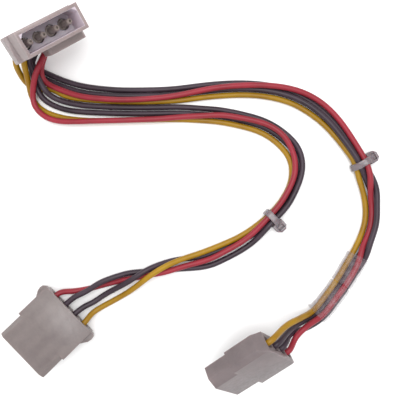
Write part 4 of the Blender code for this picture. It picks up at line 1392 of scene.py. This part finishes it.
@dataclass
class SocketConnector:
    """A socket connector: a front with two cut corners and a wider rear, holding four contacts.

    Its y axis points out of the mating end and is 0 at its face.
    """

    label: str
    pose: Pose
    length: float
    front_length: float
    front_width: float
    rear_width: float
    rear_corner: float
    thickness: float
    front_key_cut: float
    rear_key_cut: float
    ears: bool
    nylon: MouldedNylon
    step: float = 0.1
    hole_diameter: float = 4.2
    contact_diameter: float = 3.5
    bore: float = 2.2
    bore_depth: float = 8.6
    setback: float = 1.2
    collar_diameter: float = 3.8
    rear_depth: float = 7.4
    ear_reach: float = 2.1
    ear_length: float = 6.2
    ear_thickness: float = 3.4
    ear_sink: float = 0.4
    key_overlap: float = 0.4
    seam_half: float = 0.14
    seam_from: float = 0.6
    seam_to: float = 2.2
    seam_setback: float = 1.2
    rounding: float = 0.3

    def build(self) -> None:
        """Builds the housing and the four contacts."""
        self.housing()
        brass = TinnedBrass(f"{self.label}_contact_brass").material()
        for number, way in enumerate(WAYS, 1):
            contact = Piece(f"{self.label}_rolled_socket_{number}", self.contact(way))
            seam = rectangle(way - self.seam_half, way + self.seam_half, self.seam_from, self.seam_to)
            seam_start = -self.setback - self.bore_depth + self.seam_setback
            contact.join(prism(seam, seam_start, 0.0, Axis.Y), Joining.CUT)
            contact.done(self.pose.in_metres(), brass, "contact", f"{self.label}_contact_{number}")

    def housing(self) -> None:
        """Builds the housing from its front, rear and ears, and bores its four ways."""
        front = keyed_outline(self.front_width, self.thickness - 2 * self.step, self.front_key_cut, 1)
        body = Piece(f"{self.label}_shell", prism(front, -self.front_length - SUNK, 0.0, Axis.Y))
        x, corner, half = self.rear_width / 2, self.rear_corner, self.thickness / 2
        rear = [
            (-x, -self.front_length),
            (-x, corner * 1.6 - self.length),
            (corner - x, -self.length),
            (x - corner, -self.length),
            (x, corner * 1.6 - self.length),
            (x, -self.front_length),
        ]
        if not corner:
            rear = [rear[0], rear[2], rear[3], rear[5]]
        body.join(prism(rear, -half, half, Axis.Z), Joining.ADD)
        if self.rear_key_cut:
            for side in (-1, 1):
                edge = corner_outline(x * side, half, self.rear_key_cut)
                end = self.key_overlap - self.front_length
                body.join(prism(edge, -self.length - PAST, end, Axis.Y), Joining.CUT)
        if self.ears:
            for end in (-1, 1):
                body.join(self.ear(end), Joining.ADD)
        for way in WAYS:
            body.join(rod(way, self.hole_diameter, -self.length - PAST, PAST), Joining.CUT)
        body.soften(self.rounding)
        body.done(self.pose.in_metres(), self.nylon.material(), "nylon", f"{self.label}_housing")

    def ear(self, side: int) -> bmesh.types.BMesh:
        """Makes a grip ear on one end of the rear.

        Args:
            side: 1 for the end beyond the last way, -1 for the other.

        Returns:
            The ear, in metres.
        """
        x, rear, reach, length = self.rear_width / 2, -self.length, self.ear_reach, self.ear_length
        outline = [
            (x - self.ear_sink, length + rear),
            (x + 0.3, length - 0.6 + rear),
            (x + 0.85 * reach, 0.55 * length + rear),
            (x + reach, 0.34 * length + rear),
            (x + 0.9 * reach, 0.14 * length + rear),
            (x + 0.5 * reach, 0.03 * length + rear),
            (x - self.ear_sink, rear),
        ]
        half = self.ear_thickness / 2
        return prism([(side * u, v) for u, v in outline], -half, half, Axis.Z)

    def contact(self, way: float) -> bmesh.types.BMesh:
        """Turns a contact: a tube with a rounded lip, on a wider collar.

        Args:
            way: The contact's place across the ways.

        Returns:
            The contact, in metres.
        """
        radius, bore, collar = self.contact_diameter / 2, self.bore / 2, self.collar_diameter / 2
        lip, floor, back = -self.setback, -self.setback - self.bore_depth, self.rear_depth - self.length
        profile = [
            (0, floor),
            (bore, floor),
            (bore, lip - 0.4),
            (bore + 0.15, lip),
            (radius - 0.2, lip),
            (radius, lip - 0.3),
            (radius, floor + 1.0),
            (collar, floor + 0.4),
            (collar, back + 0.15),
            (collar - 0.15, back),
            (0, back),
        ]
        return turned(profile, way)


@dataclass
class Cord:
    """One wire as a free cord along its route."""

    wire: Wire
    route: np.ndarray
    material: bpy.types.Material
    diameter: float = WIRE_DIAMETER
    points: int = 40
    steps: int = 8
    roundness: int = 4
    spacing: float = 0.25

    def build(self) -> None:
        fine = smooth_curve(self.route, self.spacing)
        ways = np.gradient(fine, axis=0)
        ways /= np.linalg.norm(ways, axis=1)[:, None]
        index = np.linspace(0, len(fine) - 1, self.points).round().astype(int)
        reach = length_of(fine) / (self.points - 1) / 3
        curve = bpy.data.curves.new(self.wire.name, "CURVE")
        curve.dimensions = "3D"
        curve.bevel_depth = self.diameter / 2 * MM
        curve.bevel_resolution = self.roundness
        curve.resolution_u = self.steps
        curve.use_fill_caps = True
        curve.twist_mode = "MINIMUM"
        spline = curve.splines.new("BEZIER")
        spline.bezier_points.add(self.points - 1)
        for point, i in zip(spline.bezier_points, index):
            point.handle_left_type = point.handle_right_type = "FREE"
            point.co = fine[i] * MM
            point.handle_left = (fine[i] - ways[i] * reach) * MM
            point.handle_right = (fine[i] + ways[i] * reach) * MM
        curve.materials.append(self.material)
        obj = bpy.data.objects.new(f"pvc_{self.wire.name}", curve)
        bpy.context.scene.collection.objects.link(obj)
        fit(obj, f"{self.wire.colour().value}_wire", self.wire.name)
        tuple(self.exit() * MM)
        log.info("%s: %.0f mm long", self.wire.name, length_of(fine))

    def exit(self) -> np.ndarray:
        """Gives the point where the wire leaves the pin connector's rear."""
        z = self.wire.side * PinConnector.pair_offset
        return INPUT_POSE.point(WAYS[self.wire.way], -PinConnector.length, z)


@dataclass
class CableTie:
    """A tie pulled tight round a bundle, with its locking head at one side of it."""

    branch: Branch
    width: float = 2.5
    thickness: float = 0.9
    clearance: float = 0.25
    head_length: float = 4.4
    head_width: float = 4.5
    head_height: float = 3.9
    head_cut: float = 1.2
    head_gap: float = 0.4
    slot_place: float = 1.5
    slot_length: float = 1.5
    slot_half: float = 1.35
    tail_half: float = 1.2
    pawl_half: float = 0.9
    strap_rounding: float = 0.2
    head_rounding: float = 0.3
    corners: int = 56

    def build(self, nylon: bpy.types.Material) -> None:
        """Builds the strap and its head.

        Args:
            nylon: The finish.
        """
        name = f"cable_tie_{self.branch.label}"
        sides = (-1.0, -0.5, 0.0, 0.5, 1.0)
        sections = [self.branch.section(self.branch.tie_station, side * self.width / 2) for side in sides]
        strap = Piece(f"{self.branch.label}_tie_strap", sleeve(sections, self.clearance, self.corners))
        wall = strap.obj.modifiers.new("wall", "SOLIDIFY")
        wall.thickness = self.thickness * MM
        wall.offset = 1.0
        wall.use_even_offset = True
        strap.soften(self.strap_rounding, angle=50.0)
        strap.done(Matrix.Identity(4), nylon, "tie", name)
        self.head(nylon, sections[2])

    def head(self, nylon: bpy.types.Material, middle: Section) -> None:
        """Builds the locking head, with the strap's slot through it and the cut end of the strap in it.

        Args:
            nylon: The finish.
            middle: The cut across the bundle at the tie.
        """
        edge = max(x + radius for x, _, radius in middle.circles) + self.clearance
        near, far = edge + self.head_gap, edge + self.head_length
        half, cut = self.head_width / 2, self.head_cut
        outline = [
            (near, -half),
            (far - cut, -half),
            (far, cut - half),
            (far, half - cut),
            (far - cut, half),
            (near, half),
        ]
        low, top = SURFACE_GAP, SURFACE_GAP + self.head_height
        head = Piece(f"{self.branch.label}_tie_head", prism(outline, low, top, Axis.Z))
        x = near + self.slot_place
        slot = rectangle(x, x + self.slot_length, -self.slot_half, self.slot_half)
        head.join(prism(slot, low - PAST, top + PAST, Axis.Z), Joining.CUT)
        tail = rectangle(x + 0.15, x + 1.15, -self.tail_half, self.tail_half)
        head.join(prism(tail, low + 0.4, top - 0.35, Axis.Z), Joining.ADD)
        pawl = rectangle(x + 0.9, x + 1.7, -self.pawl_half, self.pawl_half)
        head.join(prism(pawl, low + 1.2, top - 0.7, Axis.Z), Joining.ADD)
        head.soften(self.head_rounding, angle=40.0, segments=3)
        turn = math.atan2(middle.sideways()[1], middle.sideways()[0])
        plan = Vector((middle.centre[0], middle.centre[1], 0)) * MM
        head.done(Matrix.Translation(plan) @ Matrix.Rotation(turn, 4, "Z"), nylon, "tie")


def sleeve(sections: list[Section], gap: float, corners: int) -> bmesh.types.BMesh:
    """Bridges bands round a bundle into an open sleeve.

    Args:
        sections: The cuts across the bundle, in order.
        gap: How far the sleeve stands off the wires.
        corners: How many points each band has.

    Returns:
        The sleeve, in metres.
    """
    work = bmesh.new()
    rings = []
    for section in sections:
        ring = [work.verts.new(Vector(point) * MM) for point in section.band(gap, corners)]
        rings.append([work.edges.new((ring[k], ring[(k + 1) % corners])) for k in range(corners)])
    for first, second in zip(rings, rings[1:]):
        bmesh.ops.bridge_loops(work, edges=first + second)
    bmesh.ops.recalc_face_normals(work, faces=work.faces)
    return work


@dataclass
class TapeWrap:
    """A turn of clear tape round the bundle, with a fold of its edge that stands off at one side."""

    number: int
    branch: Branch
    first: float
    last: float
    thickness: float = 0.14
    clearance: float = 0.36
    fold: float = 1.2
    hem: float = 0.5
    fold_radius: float = 0.3
    cuts: int = 26
    corners: int = 72
    crease: float = 0.09

    def build(self, film: bpy.types.Material) -> None:
        """Builds the film and creases it.

        Args:
            film: The finish.
        """
        sections = []
        for station in np.linspace(self.first, self.last, self.cuts):
            section = self.branch.section(station)
            lowest = min(x for x, _, _ in section.circles)
            highest = max(x for x, _, _ in section.circles)
            radius = WIRE_DIAMETER / 2
            edges = [
                (lowest - self.fold, radius, self.fold_radius),
                (highest + radius + self.hem, radius, self.fold_radius),
            ]
            sections.append(Section(section.centre, section.along, section.circles + edges))
        work = sleeve(sections, self.clearance, self.corners)
        for vert in work.verts:
            vert.co += vert.normal * self.crease * self.wave(*(vert.co / MM)) * MM
        film_piece = Piece(f"clear_tape_{self.number}", work)
        wall = film_piece.obj.modifiers.new("wall", "SOLIDIFY")
        wall.thickness = self.thickness * MM
        wall.offset = 1.0
        film_piece.done(Matrix.Identity(4), film, "tape", f"tape_wrap_{self.number}")

    def wave(self, x: float, y: float, z: float) -> float:
        """Gives the height of the creases, as two crossed waves of which one is finer.

        Args:
            x: The place from left to right, in millimetres.
            y: The place from front to back.
            z: The height.

        Returns:
            The height, from about -1.6 to 1.6.
        """
        wave = math.sin(1.9 * x + 0.7 * y + self.number) * math.sin(1.3 * y - 0.9 * x)
        wave += 0.6 * math.sin(3.4 * x - 2.3 * z) * math.sin(2.9 * y + 1.7 * z)
        return wave


@dataclass(frozen=True)
class Lamp:
    """A square light that faces the cable: its place and side in metres, and its power in watts."""

    name: str
    place: Triple
    side: float
    power: float

    def build(self) -> None:
        """Adds the light."""
        data = bpy.data.lights.new(self.name, "AREA")
        data.size = self.side
        data.energy = self.power
        obj = bpy.data.objects.new(self.name, data)
        target = Vector((PLAN_SHIFT.x * MM, PLAN_SHIFT.y * MM, 0))
        obj.location = self.place
        obj.rotation_euler = (target - Vector(self.place)).to_track_quat("-Z", "Y").to_euler()
        bpy.context.scene.collection.objects.link(obj)


@dataclass
class Studio:
    """The camera straight above, the pale floor and the soft lights."""

    sensor: float = 36.0
    focal: float = 36.0 * VIEW_STEPS / 400.0
    nearest: float = 0.005
    farthest: float = 20.0
    floor_size: float = 4.0
    floor_colour: Colour = (0.93, 0.93, 0.93)
    sky: float = 1.0
    lamps: tuple[Lamp, ...] = (
        Lamp("key", (-0.28, 0.34, 0.55), 0.42, 0.6),
        Lamp("front", (0.02, 0.03, 0.3), 0.16, 0.55),
    )

    def camera(self) -> None:
        """Sets the camera straight above the cable."""
        data = bpy.data.cameras.new("camera")
        data.lens = self.focal
        data.sensor_width = self.sensor
        data.clip_start = self.nearest
        data.clip_end = self.farthest
        obj = bpy.data.objects.new("camera", data)
        obj.location = (PLAN_SHIFT.x * MM, PLAN_SHIFT.y * MM, VIEW_HEIGHT * MM)
        bpy.context.scene.collection.objects.link(obj)
        bpy.context.scene.camera = obj

    def floor(self) -> None:
        """Lays the floor that the cable lies on."""
        work = bmesh.new()
        bmesh.ops.create_grid(work, x_segments=1, y_segments=1, size=self.floor_size / 2)
        obj = Piece.as_object("floor", work)
        nodes = Nodes("floor_paper")
        nodes.set(Roughness=0.9, Base_Color=(*self.floor_colour, 1.0), Specular_IOR_Level=0.1)
        obj.data.materials.append(nodes.material)

    def lights(self) -> None:
        """Sets the sky and the soft lights."""
        world = bpy.data.worlds.new("sky")
        world.use_nodes = True
        background = world.node_tree.nodes["Background"]
        background.inputs["Color"].default_value = (1, 1, 1, 1)
        background.inputs["Strength"].default_value = self.sky
        bpy.context.scene.world = world
        for lamp in self.lamps:
            lamp.build()

    def view(self) -> None:
        """Shows the light as it falls, with no curve laid over it."""
        bpy.context.scene.view_settings.view_transform = "Standard"


def socket_connectors() -> tuple[SocketConnector, SocketConnector]:
    """Describes the two socket connectors.

    Returns:
        The eared connector and the plain one.
    """
    eared_nylon = MouldedNylon(
        "eared_nylon",
        EARED_POSE,
        light=(0.19, 0.158, 0.152),
        dark=(0.115, 0.09, 0.09),
        band_start=-21.0,
        band_end=-1.0,
        bore_shade_depth=0.1,
    )
    plain_nylon = MouldedNylon(
        "plain_nylon",
        PLAIN_POSE,
        light=(0.17, 0.137, 0.139),
        dark=(0.1, 0.08, 0.083),
        band_start=-21.0,
        band_end=-1.0,
        bore_shade_depth=0.06,
    )
    eared = SocketConnector(
        "eared",
        EARED_POSE,
        EARED_LENGTH,
        front_length=9.4,
        front_width=22.6,
        rear_width=24.0,
        rear_corner=0.0,
        thickness=8.1,
        front_key_cut=1.7,
        rear_key_cut=0.0,
        ears=True,
        nylon=eared_nylon,
    )
    plain = SocketConnector(
        "plain",
        PLAIN_POSE,
        PLAIN_LENGTH,
        front_length=10.1,
        front_width=21.4,
        rear_width=24.4,
        rear_corner=2.2,
        thickness=7.6,
        front_key_cut=3.0,
        rear_key_cut=1.7,
        ears=False,
        nylon=plain_nylon,
    )
    return eared, plain


def insulation() -> dict[WireColour, bpy.types.Material]:
    """Builds the wires' finishes.

    Returns:
        The finish of each colour.
    """
    pvc = {
        WireColour.YELLOW: WirePvc("yellow_pvc", (0.34, 0.19, 0.003), (0.22, 0.105, 0.002), (0.36, 0.5)),
        WireColour.BLACK: WirePvc("black_pvc", (0.05, 0.03, 0.044), (0.02, 0.012, 0.018), (0.36, 0.5)),
        WireColour.RED: WirePvc("red_pvc", (0.3, 0.02, 0.036), (0.19, 0.012, 0.02), (0.38, 0.52)),
    }
    return {colour: finish.material() for colour, finish in pvc.items()}


def main() -> None:
    """Builds the camera, the wires, then every other piece, and the studio round them."""
    logging.basicConfig(level=logging.INFO, format="%(message)s")
    studio = Studio()
    studio.camera()
    branches = [
        Branch("eared", Spine(INNER_SPINE), INNER_WIRES, EARED_POSE, EARED_LENGTH, INNER_TIE),
        Branch("plain", Spine(OUTER_SPINE), OUTER_WIRES, PLAIN_POSE, PLAIN_LENGTH, OUTER_TIE, TAPE_SPANS),
    ]
    WireRun(branches).lay()
    finishes = insulation()
    for branch in branches:
        for wire, route in zip(branch.wires, branch.routes):
            Cord(wire, route, finishes[wire.colour()]).build()
    PinConnector().build()
    for connector in socket_connectors():
        connector.build()
    tie_nylon = TieNylon("milky_tie_nylon").material()
    film = ClearFilm("creased_film").material()
    for branch in branches:
        CableTie(branch).build(tie_nylon)
        for number, (first, last) in enumerate(branch.tape_spans, 1):
            TapeWrap(number, branch, first, last).build(film)
    studio.floor()
    studio.lights()
    studio.view()


if __name__ == "__main__":
    main()
